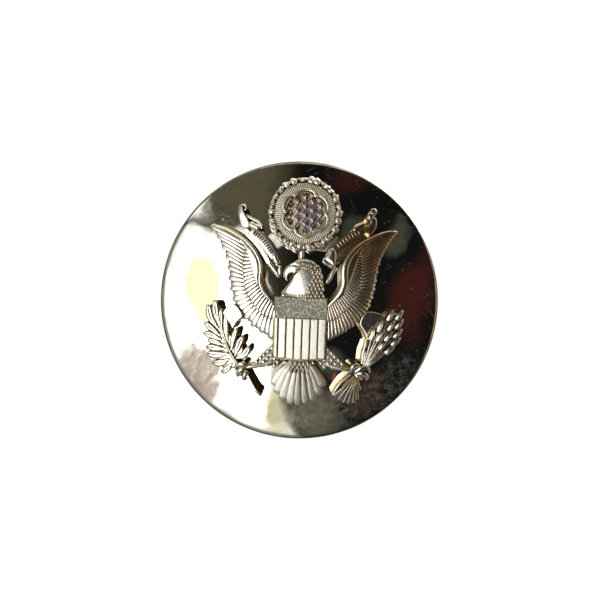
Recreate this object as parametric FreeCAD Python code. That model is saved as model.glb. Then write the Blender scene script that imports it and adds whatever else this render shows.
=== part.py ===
"""Cap badge: a domed disc with a struck eagle emblem, held to the cap by a screw post, washer and thumb nut.

Millimetres. +Z is up as worn, the face looks along -Y, and the post points along +Y into the cap.
The origin is on the post's axis, in the plane of the rim's flat back, where the badge meets the cap.
"""

import FreeCAD, Part
import math
import os

from FreeCAD import Vector

# ---- disc ----
DISC_DIAMETER = 44.45  # 1 3/4 in
DOME_RADIUS = 60.0  # outer surface
SHEET = 0.6
HEM_INNER_RADIUS = 20.3
HEM_EDGE_ROUND = 0.3

# ---- fastening ----
THREAD_RADIUS = 2.083  # No. 8-32
THREAD_PITCH = 25.4 / 32
POST_END = 9.0
POST_CHAMFER = 0.5
POST_HOLE_CLEARANCE = 0.15
SPIGOT_RADIUS = 1.4
SPIGOT_DEPTH = 1.0
SEAT_WASHER_RADIUS = 5.2
SEAT_WASHER_MIN_THICKNESS = 0.5
CLAMP_NUT_FLATS = 7.94
CLAMP_NUT_THICKNESS = 2.0
STACK_GAP = 0.3
BACKING_WASHER_RADIUS = 9.5
BACKING_WASHER_BORE = 2.35
BACKING_WASHER_THICKNESS = 0.8
NUT_RADIUS = 9.0
NUT_FLANGE_THICKNESS = 2.2
NUT_HUB_RADIUS = 4.6
NUT_HEIGHT = 3.6
NUT_THREAD_CLEARANCE = 0.05
NUT_SERRATIONS = 60
SERRATION_DEPTH = 0.3
NUT_EDGE_BEVEL = 0.35

# ---- small fixings ----
PIN_OFFSET = 12.7  # 1/2 in each side of the post
PIN_RADIUS = 0.6
PIN_STRAIGHT_END = 3.4
PIN_POINT_END = 4.6
PIN_TIP_RADIUS = 0.12
PIN_FOOT_RADIUS = 1.9
PIN_FOOT_THICKNESS = 0.5
SOLDER_RADIUS = 2.9
SOLDER_SPREAD = 3.1
SOLDER_HEIGHT = 0.35
STUD_RADIUS = 0.8
STUD_HOLE_CLEARANCE = 0.08
STUD_WASHER_RADIUS = 1.6
STUD_WASHER_THICKNESS = 0.4
STUD_HEAD_RADIUS = 1.2
STUD_HEAD_HEIGHT = 0.55

# ---- emblem: x is measured from the emblem's own axis ----
EMBLEM_X = 0.35
EMBLEM_SCALE = 0.976  # brings every outline below to size
GLORY_CENTRE = (0.1, 14.0)
TAIL_STUD = (0.1, -12.6)
SHIELD_HALF_WIDTH = 4.4
SHIELD_TOP = 0.45
SHIELD_CHIEF = -3.0
SHIELD_BOTTOM = -9.65
SHIELD_CUSP = -9.95
SHIELD_CORNER = 0.75
SHIELD_BARS = 7
BAR_GROOVE_WIDTH = 0.24
BAR_GROOVE_DEPTH = 0.3

# ---- worked out ----
DISC_RADIUS = DISC_DIAMETER / 2
BEAD_CENTRE_R = DISC_RADIUS - SHEET
BEAD_CENTRE_Y = -SHEET
DOME_Y = BEAD_CENTRE_Y + math.sqrt((DOME_RADIUS - SHEET) ** 2 - BEAD_CENTRE_R**2)
DOME_CENTRE = Vector(0, DOME_Y, 0)
INNER_RADIUS = DOME_RADIUS - SHEET
FAR = 30.0
Y_AXIS = Vector(0, 1, 0)


def sphere_y(radius, r):
    """Y of a dome surface of that radius, at distance r from the badge's axis."""
    return DOME_Y - math.sqrt(radius**2 - r**2)


SEAT_WASHER_BACK = sphere_y(INNER_RADIUS, SEAT_WASHER_RADIUS) + SEAT_WASHER_MIN_THICKNESS
CLAMP_NUT_BACK = SEAT_WASHER_BACK + CLAMP_NUT_THICKNESS
BACKING_WASHER_FRONT = CLAMP_NUT_BACK + STACK_GAP
BACKING_WASHER_BACK = BACKING_WASHER_FRONT + BACKING_WASHER_THICKNESS
NUT_FRONT = BACKING_WASHER_BACK + STACK_GAP
NUT_BACK = NUT_FRONT + NUT_HEIGHT


# ---- helpers ----
def rod(x, z, radius, y0, y1):
    """A cylinder along Y from y0 to y1."""
    return Part.makeCylinder(radius, y1 - y0, Vector(x, y0, z), Y_AXIS)


def cone(x, z, r0, r1, y0, y1):
    """A cone along Y, of radius r0 at y0 and r1 at y1."""
    return Part.makeCone(r0, r1, y1 - y0, Vector(x, y0, z), Y_AXIS)


def ball(radius):
    """A ball about the dome's centre, so that its surface is a dome parallel to the disc."""
    return Part.makeSphere(radius, DOME_CENTRE)


def revolved(edges):
    face = Part.Face(Part.Wire(edges))
    return face.revolve(Vector(0, 0, 0), Y_AXIS, 360)


def line(a, b):
    return Part.LineSegment(a, b).toShape()


def arc(a, middle, b):
    return Part.Arc(a, middle, b).toShape()


def at(x, z):
    """A point of an outline, given from the emblem's axis, on a plane in front of the badge."""
    return Vector(EMBLEM_SCALE * x + EMBLEM_X, -FAR, EMBLEM_SCALE * z)


def smooth(points):
    """A closed smooth outline through the points."""
    curve = Part.BSplineCurve()
    curve.interpolate([at(x, z) for x, z in points], PeriodicFlag=True)
    return Part.Wire([curve.toShape()])


def polygon(points):
    corners = [at(x, z) for x, z in points]
    return Part.makePolygon(corners + corners[:1])


def circle(x, z, radius):
    return Part.Wire([Part.Circle(at(x, z), Y_AXIS, EMBLEM_SCALE * radius).toShape()])


def mirrored(points):
    return [(-x, z) for x, z in reversed(points)]


def prism(wire):
    """The outline pushed straight back through the whole badge."""
    return Part.Face(wire).extrude(Vector(0, 2 * FAR, 0))


def relief(wires, height):
    """What the outlines cut from a layer of that height lying on the disc."""
    layer = ball(DOME_RADIUS + height)
    cut = [prism(w).common(layer) for w in wires]
    solid = cut[0] if len(cut) == 1 else cut[0].multiFuse(cut[1:])
    return solid.cut(ball(DOME_RADIUS))


# ---- disc ----
def face_disc():
    """Domed sheet whose edge is rolled over and pressed flat behind."""
    towards_bead = math.asin(BEAD_CENTRE_R / INNER_RADIUS)
    half = towards_bead / 2
    hem_y = sphere_y(INNER_RADIUS, HEM_INNER_RADIUS)
    to_hem = math.asin(HEM_INNER_RADIUS / INNER_RADIUS)

    def on_dome(radius, angle):
        return Vector(radius * math.sin(angle), DOME_Y - radius * math.cos(angle), 0)

    corner = 1 - math.sqrt(0.5)
    edges = [
        arc(on_dome(DOME_RADIUS, 0), on_dome(DOME_RADIUS, half), on_dome(DOME_RADIUS, towards_bead)),
        arc(
            on_dome(DOME_RADIUS, towards_bead),
            Vector(BEAD_CENTRE_R + SHEET, BEAD_CENTRE_Y, 0),
            Vector(BEAD_CENTRE_R, 0, 0),
        ),
        line(Vector(BEAD_CENTRE_R, 0, 0), Vector(HEM_INNER_RADIUS + HEM_EDGE_ROUND, 0, 0)),
        arc(
            Vector(HEM_INNER_RADIUS + HEM_EDGE_ROUND, 0, 0),
            Vector(HEM_INNER_RADIUS + corner * HEM_EDGE_ROUND, -corner * HEM_EDGE_ROUND, 0),
            Vector(HEM_INNER_RADIUS, -HEM_EDGE_ROUND, 0),
        ),
        line(Vector(HEM_INNER_RADIUS, -HEM_EDGE_ROUND, 0), Vector(HEM_INNER_RADIUS, hem_y, 0)),
        arc(on_dome(INNER_RADIUS, to_hem), on_dome(INNER_RADIUS, to_hem / 2), on_dome(INNER_RADIUS, 0)),
        line(on_dome(INNER_RADIUS, 0), on_dome(DOME_RADIUS, 0)),
    ]
    disc = revolved(edges)
    holes = [rod(0, 0, THREAD_RADIUS + POST_HOLE_CLEARANCE, -FAR, FAR)]
    for stud in (GLORY_CENTRE, TAIL_STUD):
        place = at(*stud)
        holes.append(rod(place.x, place.z, STUD_RADIUS + STUD_HOLE_CLEARANCE, -FAR, FAR))
    return disc.cut(holes)


# ---- emblem outlines ----
RIGHT_WING = [
    (15.1, 11.6), (13.0, 11.25), (11.0, 10.4), (9.8, 9.65), (8.5, 8.5), (7.4, 7.3), (6.75, 6.0),
    (6.5, 4.5), (6.4, 3.0), (6.2, 1.6), (5.5, 0.4), (4.2, -0.6), (3.6, -3.4), (4.0, -6.3), (5.4, -6.1),
    (7.0, -5.2), (8.9, -3.9), (10.6, -2.5), (11.2, -1.0), (11.6, 1.0), (12.0, 3.5), (12.3, 5.6),
    (12.9, 7.6), (13.7, 9.1), (14.7, 10.6),
]
HEAD = [
    (-0.3, 6.6), (1.6, 6.2), (2.7, 5.1), (3.2, 3.8), (3.5, 2.4), (3.5, 0.9), (2.9, -0.8), (-3.2, -0.8),
    (-3.1, 0.9), (-2.5, 2.0), (-2.3, 3.1), (-2.8, 4.1), (-2.7, 5.2), (-1.8, 6.1),
]
TAIL = [
    (-1.6, -8.6), (1.6, -8.6), (2.4, -10.4), (3.6, -12.2), (4.3, -14.0), (3.5, -15.4), (1.9, -16.4),
    (0.0, -17.0), (-1.9, -16.4), (-3.5, -15.4), (-4.3, -14.0), (-3.6, -12.2), (-2.4, -10.4),
]
LEFT_LEG = [
    (-3.6, -6.6), (-5.2, -7.8), (-6.2, -9.0), (-7.1, -10.0), (-8.7, -10.8), (-10.2, -11.0), (-10.8, -11.9),
    (-9.9, -13.0), (-8.6, -12.7), (-7.6, -11.7), (-6.0, -11.1), (-4.4, -10.7), (-3.0, -9.6), (-2.8, -7.8),
]
RIGHT_LEG = [
    (3.6, -6.5), (5.2, -7.8), (6.4, -9.1), (7.6, -10.1), (8.7, -10.0), (10.1, -10.4), (11.1, -10.6),
    (11.1, -12.0), (10.2, -12.7), (8.9, -12.2), (7.6, -11.3), (5.6, -11.0), (4.2, -10.6), (2.8, -9.4),
    (2.8, -7.6),
]
BRANCH = [
    (-14.0, -0.3), (-13.2, -1.6), (-12.2, -2.5), (-12.0, -4.2), (-11.2, -5.0), (-11.0, -6.6), (-9.8, -6.1),
    (-9.3, -7.3), (-8.5, -7.9), (-8.8, -9.2), (-9.8, -10.4), (-10.4, -11.6), (-12.7, -12.2), (-12.6, -11.3),
    (-14.3, -10.7), (-13.9, -9.9), (-15.3, -9.2), (-15.0, -8.2), (-15.7, -7.6), (-15.2, -6.6), (-15.9, -5.8),
    (-15.1, -5.0), (-15.6, -4.2), (-14.9, -3.2), (-15.4, -1.6),
]
STEM = [(-9.2, -11.2), (-8.4, -11.9), (-7.2, -14.6), (-6.1, -15.8), (-5.8, -15.4), (-6.6, -13.6), (-7.8, -11.4)]
SHEAF_HEADS = [
    (10.0, -10.6), (9.9, -9.0), (10.2, -6.0), (11.2, -4.4), (12.4, -2.7), (13.6, -1.7), (14.6, -0.4),
    (16.5, -0.5), (16.7, -2.2), (16.5, -4.2), (15.4, -6.5), (13.7, -8.1), (11.9, -9.7), (11.0, -10.9),
]
SHEAF_FLIGHTS = [
    (8.1, -11.5), (6.5, -12.9), (5.2, -15.1), (6.4, -15.9), (8.8, -16.3), (9.5, -14.0), (9.7, -12.3),
]
LEFT_SCROLL = [
    (-3.4, 3.4), (-4.6, 4.3), (-5.8, 5.8), (-7.2, 7.8), (-9.2, 9.4), (-9.5, 10.6), (-10.4, 12.0),
    (-10.9, 13.6), (-10.2, 14.9), (-9.6, 14.0), (-9.0, 12.9), (-7.3, 12.3), (-7.2, 11.2), (-6.2, 9.9),
    (-5.0, 8.5), (-4.3, 7.0), (-4.1, 5.6), (-3.3, 4.4),
]
RIGHT_SCROLL = [
    (3.8, 3.2), (4.8, 4.9), (3.3, 6.5), (3.6, 8.0), (4.8, 9.1), (6.2, 10.3), (7.3, 11.2), (7.5, 12.1),
    (9.4, 12.9), (9.8, 14.4), (10.7, 15.2), (11.2, 14.3), (10.7, 12.9), (10.3, 11.4), (10.2, 9.9),
    (8.6, 8.2), (6.8, 6.2), (5.9, 4.9), (4.6, 3.2),
]
NECK_TIE = [(2.6, 3.6), (3.8, 3.8), (4.9, 3.6), (4.3, 2.3), (2.6, 2.0)]
LEFT_WEB = [(-10.8, -0.8), (-12.5, -2.6), (-12.2, -4.4), (-11.0, -5.2), (-10.2, -4.0), (-9.4, -2.8)]
RIGHT_WEB = [(10.5, -1.6), (12.4, -1.9), (12.6, -3.6), (10.6, -6.4), (10.1, -5.0), (9.2, -3.3)]
GLORY_STEM = [(-0.9, 5.8), (-0.7, 8.8), (0.5, 8.8), (0.3, 5.8)]
GLORY_RIGHT_WEB = [(0.6, 8.8), (2.4, 7.9), (4.0, 8.2), (5.6, 10.4), (3.4, 10.6)]
GLORY_LEFT_WEB = [(-4.6, 7.9), (-3.2, 8.4), (-2.4, 9.6), (-4.6, 10.8), (-6.0, 9.8)]

GLORY_RADIUS = 5.95
CLOUD_RING_INNER = 4.95
STAR_FIELD_RADIUS = 3.6
STAR_FIELD_DEPTH = 0.5
WEB_HEIGHT = 0.9
LOW_RELIEF = 1.8
MIDDLE_RELIEF = 2.0
SHIELD_RELIEF = 2.6
HEAD_RELIEF = 2.9


def shield_outline():
    """Flat top, round lower corners and a small central point."""
    w, r = SHIELD_HALF_WIDTH, SHIELD_CORNER
    k = r * (1 - math.sqrt(0.5))
    edges = [
        line(at(-w, SHIELD_TOP), at(w, SHIELD_TOP)),
        line(at(w, SHIELD_TOP), at(w, SHIELD_BOTTOM + r)),
        arc(at(w, SHIELD_BOTTOM + r), at(w - k, SHIELD_BOTTOM + k), at(w - r, SHIELD_BOTTOM)),
        line(at(w - r, SHIELD_BOTTOM), at(0, SHIELD_CUSP)),
        line(at(0, SHIELD_CUSP), at(r - w, SHIELD_BOTTOM)),
        arc(at(r - w, SHIELD_BOTTOM), at(k - w, SHIELD_BOTTOM + k), at(-w, SHIELD_BOTTOM + r)),
        line(at(-w, SHIELD_BOTTOM + r), at(-w, SHIELD_TOP)),
    ]
    return Part.Wire(edges)


def shield_grooves():
    """The channels between the shield's upright bars."""
    pitch = 2 * SHIELD_HALF_WIDTH / SHIELD_BARS
    grooves = []
    for i in range(1, SHIELD_BARS):
        x = i * pitch - SHIELD_HALF_WIDTH
        half = BAR_GROOVE_WIDTH / 2
        z0, z1 = SHIELD_BOTTOM + 0.1, SHIELD_CHIEF
        grooves.append(polygon([(x - half, z0), (x + half, z0), (x + half, z1), (x - half, z1)]))
    floor = ball(DOME_RADIUS + SHIELD_RELIEF - BAR_GROOVE_DEPTH)
    return [prism(wire).cut(floor) for wire in grooves]


def eagle_emblem():
    """One pierced piece, struck in relief, whose back follows the disc."""
    middle = relief(
        [smooth(RIGHT_WING), smooth(mirrored(RIGHT_WING)), smooth(TAIL), smooth(BRANCH),
         smooth(SHEAF_HEADS), smooth(SHEAF_FLIGHTS), circle(*GLORY_CENTRE, GLORY_RADIUS)],
        MIDDLE_RELIEF,
    )
    low = relief(
        [smooth(LEFT_LEG), smooth(RIGHT_LEG), smooth(STEM), smooth(LEFT_SCROLL), smooth(RIGHT_SCROLL),
         smooth(NECK_TIE)],
        LOW_RELIEF,
    )
    webs = relief(
        [polygon(w) for w in (LEFT_WEB, RIGHT_WEB, GLORY_STEM, GLORY_RIGHT_WEB, GLORY_LEFT_WEB)],
        WEB_HEIGHT,
    )
    head = relief([smooth(HEAD)], HEAD_RELIEF)
    shield = relief([shield_outline()], SHIELD_RELIEF)
    solid = middle.multiFuse([low, webs, head, shield])
    recess = prism(circle(*GLORY_CENTRE, STAR_FIELD_RADIUS)).cut(
        ball(DOME_RADIUS + MIDDLE_RELIEF - STAR_FIELD_DEPTH)
    )
    spigot_hole = rod(0, 0, SPIGOT_RADIUS, sphere_y(DOME_RADIUS, 0) - SPIGOT_DEPTH, 0)
    return solid.cut([recess, spigot_hole] + shield_grooves())


# ---- fixings behind the disc ----
def screw_post():
    """Threaded post whose front spigot is brazed into the emblem."""
    front = sphere_y(DOME_RADIUS, 0)
    thread = rod(0, 0, THREAD_RADIUS, front - 1.0, POST_END - POST_CHAMFER).common(ball(DOME_RADIUS))
    point = cone(0, 0, THREAD_RADIUS, THREAD_RADIUS - POST_CHAMFER, POST_END - POST_CHAMFER, POST_END)
    spigot = rod(0, 0, SPIGOT_RADIUS, front - SPIGOT_DEPTH, front + 0.5)
    return thread.multiFuse([point, spigot]).removeSplitter()


def post_seat_washer():
    plate = rod(0, 0, SEAT_WASHER_RADIUS, -FAR / 4, SEAT_WASHER_BACK).common(ball(INNER_RADIUS))
    return plate.cut(rod(0, 0, THREAD_RADIUS, -FAR, FAR))


def clamp_nut():
    """Thin hexagon nut that draws the emblem and the disc together."""
    corner = CLAMP_NUT_FLATS / math.sqrt(3)
    points = []
    for i in range(7):
        a = math.radians(60 * i)
        points.append(Vector(corner * math.cos(a), SEAT_WASHER_BACK, corner * math.sin(a)))
    hexagon = Part.Face(Part.makePolygon(points)).extrude(Vector(0, CLAMP_NUT_THICKNESS, 0))
    bevel_top = CLAMP_NUT_FLATS / 2 + 0.05
    bevel = cone(0, 0, bevel_top + 2 * CLAMP_NUT_THICKNESS, bevel_top, SEAT_WASHER_BACK, CLAMP_NUT_BACK)
    return hexagon.common(bevel).cut(rod(0, 0, THREAD_RADIUS, -FAR, FAR))


def emblem_stud(x, z):
    """Small stud from the emblem's back, its end peened over a washer."""
    washer_back = stud_washer_back(x, z)
    shank = rod(x, z, STUD_RADIUS, -FAR / 2, washer_back).common(ball(DOME_RADIUS))
    cap_radius = (STUD_HEAD_RADIUS**2 + STUD_HEAD_HEIGHT**2) / (2 * STUD_HEAD_HEIGHT)
    cap = Part.makeSphere(cap_radius, Vector(x, washer_back + STUD_HEAD_HEIGHT - cap_radius, z))
    head = rod(x, z, STUD_HEAD_RADIUS, washer_back, washer_back + STUD_HEAD_HEIGHT).common(cap)
    return shank.fuse(head)


def stud_washer_back(x, z):
    """Y of the washer's back: its thickness above the highest point of the dome under it."""
    return sphere_y(INNER_RADIUS, math.hypot(x, z) + STUD_WASHER_RADIUS) + STUD_WASHER_THICKNESS


def stud_washer(x, z):
    plate = rod(x, z, STUD_WASHER_RADIUS, -FAR / 2, stud_washer_back(x, z)).common(ball(INNER_RADIUS))
    return plate.cut(rod(x, z, STUD_RADIUS, -FAR, FAR))


def foot_back():
    return sphere_y(INNER_RADIUS, PIN_OFFSET + PIN_FOOT_RADIUS) + PIN_FOOT_THICKNESS


def locating_pin(x):
    """Sharp pin on a round foot, which stops the badge turning on the cap."""
    foot = rod(x, 0, PIN_FOOT_RADIUS, -FAR / 2, foot_back()).common(ball(INNER_RADIUS))
    shank = rod(x, 0, PIN_RADIUS, foot_back() - 0.2, PIN_STRAIGHT_END)
    point = cone(x, 0, PIN_RADIUS, PIN_TIP_RADIUS, PIN_STRAIGHT_END, PIN_POINT_END)
    return foot.multiFuse([shank, point]).removeSplitter()


def pin_solder(x):
    """Fillet of solder round a pin's foot."""
    top = foot_back() - PIN_FOOT_THICKNESS + SOLDER_HEIGHT
    depth = 2.0
    slope = (SOLDER_RADIUS - PIN_FOOT_RADIUS) / SOLDER_HEIGHT
    fillet = cone(x, 0, PIN_FOOT_RADIUS + slope * depth, PIN_FOOT_RADIUS, top - depth, top)
    fillet = fillet.common(rod(x, 0, SOLDER_SPREAD, -FAR, FAR)).common(ball(INNER_RADIUS))
    return fillet.cut(rod(x, 0, PIN_FOOT_RADIUS, -FAR, FAR))


# ---- washer and nut that go inside the cap ----
def backing_washer():
    plate = rod(0, 0, BACKING_WASHER_RADIUS, BACKING_WASHER_FRONT, BACKING_WASHER_BACK)
    return plate.cut(rod(0, 0, BACKING_WASHER_BORE, -FAR, FAR))


def thumb_nut():
    """Round nut with a serrated edge and a raised hub."""
    points = []
    for i in range(2 * NUT_SERRATIONS):
        a = math.pi * i / NUT_SERRATIONS
        radius = NUT_RADIUS - SERRATION_DEPTH * (i % 2)
        points.append(Vector(radius * math.cos(a), NUT_FRONT, radius * math.sin(a)))
    flange = Part.Face(Part.makePolygon(points + points[:1])).extrude(Vector(0, NUT_FLANGE_THICKNESS, 0))
    flange_back = NUT_FRONT + NUT_FLANGE_THICKNESS
    reach = NUT_RADIUS + NUT_FLANGE_THICKNESS - NUT_EDGE_BEVEL
    front_bevel = cone(0, 0, NUT_RADIUS - NUT_EDGE_BEVEL, reach, NUT_FRONT, flange_back)
    back_bevel = cone(0, 0, reach, NUT_RADIUS - NUT_EDGE_BEVEL, NUT_FRONT, flange_back)
    flange = flange.common(front_bevel).common(back_bevel)
    hub_top = NUT_BACK - NUT_EDGE_BEVEL
    hub = rod(0, 0, NUT_HUB_RADIUS, NUT_FRONT + 0.5, hub_top)
    crown = cone(0, 0, NUT_HUB_RADIUS, NUT_HUB_RADIUS - NUT_EDGE_BEVEL, hub_top, NUT_BACK)
    bore = rod(0, 0, THREAD_RADIUS + NUT_THREAD_CLEARANCE, -FAR, FAR)
    return flange.multiFuse([hub, crown]).cut(bore)


def save(name, shape):
    if not shape.isValid():
        raise ValueError(f"{name} is not valid")
    solids = shape.Solids
    made = solids[0] if len(solids) == 1 else Part.makeCompound(solids)
    made.exportStep(os.path.join("parts", name + ".step"))
    box = shape.BoundBox
    print(f"{name}: {len(solids)} solid, {shape.Volume:.2f} mm3, y {box.YMin:.2f} to {box.YMax:.2f}")


def main():
    os.makedirs("parts", exist_ok=True)
    save("face_disc", face_disc())
    save("eagle_emblem", eagle_emblem())
    save("screw_post", screw_post())
    save("post_seat_washer", post_seat_washer())
    save("clamp_nut", clamp_nut())
    for name, stud in (("upper", GLORY_CENTRE), ("lower", TAIL_STUD)):
        place = at(*stud)
        save(name + "_emblem_stud", emblem_stud(place.x, place.z))
        save(name + "_stud_washer", stud_washer(place.x, place.z))
    for name, x in (("left", -PIN_OFFSET), ("right", PIN_OFFSET)):
        save(name + "_locating_pin", locating_pin(x))
        save(name + "_pin_solder", pin_solder(x))
    save("backing_washer", backing_washer())
    save("thumb_nut", thumb_nut())


main()
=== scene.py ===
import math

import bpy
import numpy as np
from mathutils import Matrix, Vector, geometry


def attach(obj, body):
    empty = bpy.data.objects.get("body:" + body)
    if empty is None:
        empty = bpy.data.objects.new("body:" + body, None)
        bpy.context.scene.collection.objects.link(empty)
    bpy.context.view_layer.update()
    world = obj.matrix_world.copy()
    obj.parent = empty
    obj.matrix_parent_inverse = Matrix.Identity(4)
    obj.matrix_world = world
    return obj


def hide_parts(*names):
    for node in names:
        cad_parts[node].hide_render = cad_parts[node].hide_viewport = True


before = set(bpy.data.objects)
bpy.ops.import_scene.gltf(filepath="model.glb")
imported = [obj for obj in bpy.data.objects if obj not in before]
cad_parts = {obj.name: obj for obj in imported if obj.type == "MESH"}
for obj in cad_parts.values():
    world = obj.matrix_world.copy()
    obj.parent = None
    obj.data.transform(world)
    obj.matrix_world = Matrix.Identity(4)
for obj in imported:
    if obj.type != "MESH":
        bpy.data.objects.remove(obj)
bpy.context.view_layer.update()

# Looks of a cap badge: a mirror-polished domed disc with a struck eagle emblem, and its fixings behind.
# Shapes are worked out in millimetres, x right, z up, with the face towards -y. The emblem's own (u, v)
# coordinates are x and z before they are brought to size, and heights are above the disc's outer surface.

MM = 0.001

# ---- the same sizes as the CAD model's ----
DISC_RADIUS = 22.225
SHEET = 0.6
DOME_RADIUS = 60.0
HEM_INNER_RADIUS = 20.3
HEM_EDGE_ROUND = 0.3
POST_HOLE_RADIUS = 2.233
POST_FRONT = -5.6
POST_END = 9.0
POST_CHAMFER = 0.5
THREAD_RADIUS = 2.083
THREAD_PITCH = 25.4 / 32
THREAD_DEPTH = 0.42
EMBLEM_X = 0.35
EMBLEM_SCALE = 0.976
BEAD_R = DISC_RADIUS - SHEET
DOME_Y = math.sqrt((DOME_RADIUS - SHEET) ** 2 - BEAD_R**2) - SHEET
GLORY = (0.1, 14.0)

rng = np.random.default_rng(7)


# ---- curves and closed shells ----
def jitter(size):
    """A random amount either way."""
    return rng.uniform(-size, size)


def lift(u, v, h):
    """Badge coordinates of emblem points at a height above the dome."""
    x = EMBLEM_SCALE * np.asarray(u, float) + EMBLEM_X
    z = EMBLEM_SCALE * np.asarray(v, float)
    y = DOME_Y - np.sqrt((DOME_RADIUS + np.asarray(h, float)) ** 2 - x * x - z * z)
    return np.stack(np.broadcast_arrays(x, y, z), -1)


def sided(side, points):
    """Points of the right half, on the right (1) or turned over to the left (-1)."""
    return [(side * u, v) for u, v in points]


def around(radius, degrees):
    """A point about the glory's centre."""
    a = math.radians(degrees)
    return (GLORY[0] + radius * math.cos(a), GLORY[1] + radius * math.sin(a))


def circle(radius, step=15):
    """A circle about the glory's centre."""
    return [around(radius, degrees) for degrees in range(0, 360, step)]


def curve(points, fractions, closed=False):
    """Points at fractions of the length of a smooth curve through the given ones."""
    p = np.asarray(points, float)
    if closed:
        p = np.vstack([p, p[:1]])
    step = np.linalg.norm(np.diff(p, axis=0), axis=1)
    knots = np.concatenate([[0], np.cumsum(step)])
    if closed:
        ring = p[:-1]
        slope = (np.roll(ring, -1, 0) - np.roll(ring, 1, 0)) / (step + np.roll(step, 1))[:, None]
        slope = np.vstack([slope, slope[:1]])
    elif len(p) > 2:
        slope = np.gradient(p, knots, axis=0)
    else:
        slope = np.repeat((p[1:] - p[:1]) / knots[-1], 2, axis=0)
    at = np.asarray(fractions, float) * knots[-1]
    i = np.clip(np.searchsorted(knots, at, side="right") - 1, 0, len(step) - 1)
    h = step[i][:, None]
    s = (at - knots[i])[:, None] / h
    a, b, m, n = p[i], p[i + 1], slope[i] * h, slope[i + 1] * h
    first = (1 + 2 * s) * (1 - s) ** 2 * a + s * (1 - s) ** 2 * m
    return first + s * s * (3 - 2 * s) * b + s * s * (s - 1) * n


class Piece:
    """Closed shells in millimetres, gathered into one object."""

    def __init__(self):
        self.points = []
        self.faces = []
        self.groove = []
        self.count = 0

    def add(self, points, faces, groove):
        points = np.asarray(points, float).reshape(-1, 3)
        self.points.append(points)
        self.groove.append(np.broadcast_to(np.asarray(groove, float).ravel(), (len(points),)))
        self.faces += [[i + self.count for i in face] for face in faces]
        self.count += len(points)

    def stand_off(self, rise, beyond=0.0, over=1.0, slope=0.0):
        """Lift crests off the disc: by the rise beyond a radius, and more towards the top by the slope."""
        for points in self.points:
            x, y, z = points.T
            h = np.sqrt((DOME_Y - y) ** 2 + x * x + z * z) - DOME_RADIUS
            more = rise * np.clip((np.hypot(x, z) - beyond) / over, 0, 1) + slope * (z - GLORY[1])
            h = h + more * np.minimum(h, 1)
            points[:, 1] = DOME_Y - np.sqrt((DOME_RADIUS + h) ** 2 - x * x - z * z)

    def build(self, name, material, replaces, body="badge", sharp=38):
        """Make the object; edges sharper than so many degrees stay crisp."""
        mesh = bpy.data.meshes.new(name)
        mesh.from_pydata((np.vstack(self.points) * MM).tolist(), [], self.faces)
        mesh.polygons.foreach_set("use_smooth", [True] * len(mesh.polygons))
        groove = mesh.attributes.new("groove", "FLOAT", "POINT")
        groove.data.foreach_set("value", np.concatenate(self.groove))
        mesh.set_sharp_from_angle(angle=math.radians(sharp))
        mesh.materials.append(material)
        piece = bpy.data.objects.new(name, mesh)
        bpy.context.scene.collection.objects.link(piece)
        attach(piece, body)
        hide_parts(replaces)


def quads(rows, columns, closed_rows=False, closed_columns=False):
    """Faces between the points of a grid, which may close on itself either way."""
    faces = []
    for i in range(rows if closed_rows else rows - 1):
        j = (i + 1) % rows
        for k in range(columns if closed_columns else columns - 1):
            n = (k + 1) % columns
            faces.append([i * columns + k, i * columns + n, j * columns + n, j * columns + k])
    return faces


def caps(rows, columns):
    """Faces that close both ends of a tube made with quads."""
    last = (rows - 1) * columns
    return [list(range(columns - 1, -1, -1)), list(range(last, last + columns))]


def strip_faces(n, m, closed):
    """A top grid of n by m points, then two foot points for each row: its faces, walls and underside."""
    faces = quads(n, m, closed)
    foot = n * m
    for i in range(n if closed else n - 1):
        j = (i + 1) % n
        a, b, c, d = foot + 2 * i, foot + 2 * i + 1, foot + 2 * j, foot + 2 * j + 1
        faces.append([i * m, j * m, c, a])
        faces.append([j * m + m - 1, i * m + m - 1, b, d])
        faces.append([a, c, d, b])
    if not closed:
        last = foot - m
        faces.append([foot + 1] + list(range(m - 1, -1, -1)) + [foot])
        faces.append([foot + 2 * n - 2] + list(range(last, foot)) + [foot + 2 * n - 1])
    return faces


# Groove values darken the gilt: tarnish, with painted shade at the feet of walls and in sunk creases.
FOOT_TARNISH_AND_SHADE = 1.8
ACROSS = np.array([-1, -0.95, -0.8, -0.5, -0.15, 0, 0.15, 0.5, 0.8, 0.95, 1])
END_LENGTHS = {"flat": 0.0, "round": 1.0, "point": 3.2}
LONGEST_END = 0.45
THINNEST = 0.04
CROWN_POWER = 2.2
CREASE_HALF = 0.14
CREASE_TARNISH_AND_SHADE = 12


def stations(length, width, steps, start, end, closed):
    """Fractions along a blade, with how far each is into the first end and into the last, 0 to 1."""
    z0 = min(END_LENGTHS[start] * width[0] / length, LONGEST_END)
    z1 = min(END_LENGTHS[end] * width[-1] / length, LONGEST_END)
    quarter = np.sin(np.linspace(0, math.pi / 2, 5))
    if closed:
        t = np.linspace(0, 1, steps, endpoint=False)
    else:
        t = np.linspace(z0, 1 - z1, steps)
        if z0:
            t = np.concatenate([z0 * (1 - quarter[:0:-1]), t])
        if z1:
            t = np.concatenate([t, 1 - z1 + z1 * quarter[1:]])
    q0 = np.clip((z0 - t) / max(z0, 1e-6), 0, 1)
    q1 = np.clip((t - 1 + z1) / max(z1, 1e-6), 0, 1)
    return t, q0, q1


def along_length(values, t):
    """A size at fractions of a length, from one or more values spread evenly over it."""
    return np.interp(t, np.linspace(0, 1, len(values)), values)


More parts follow.
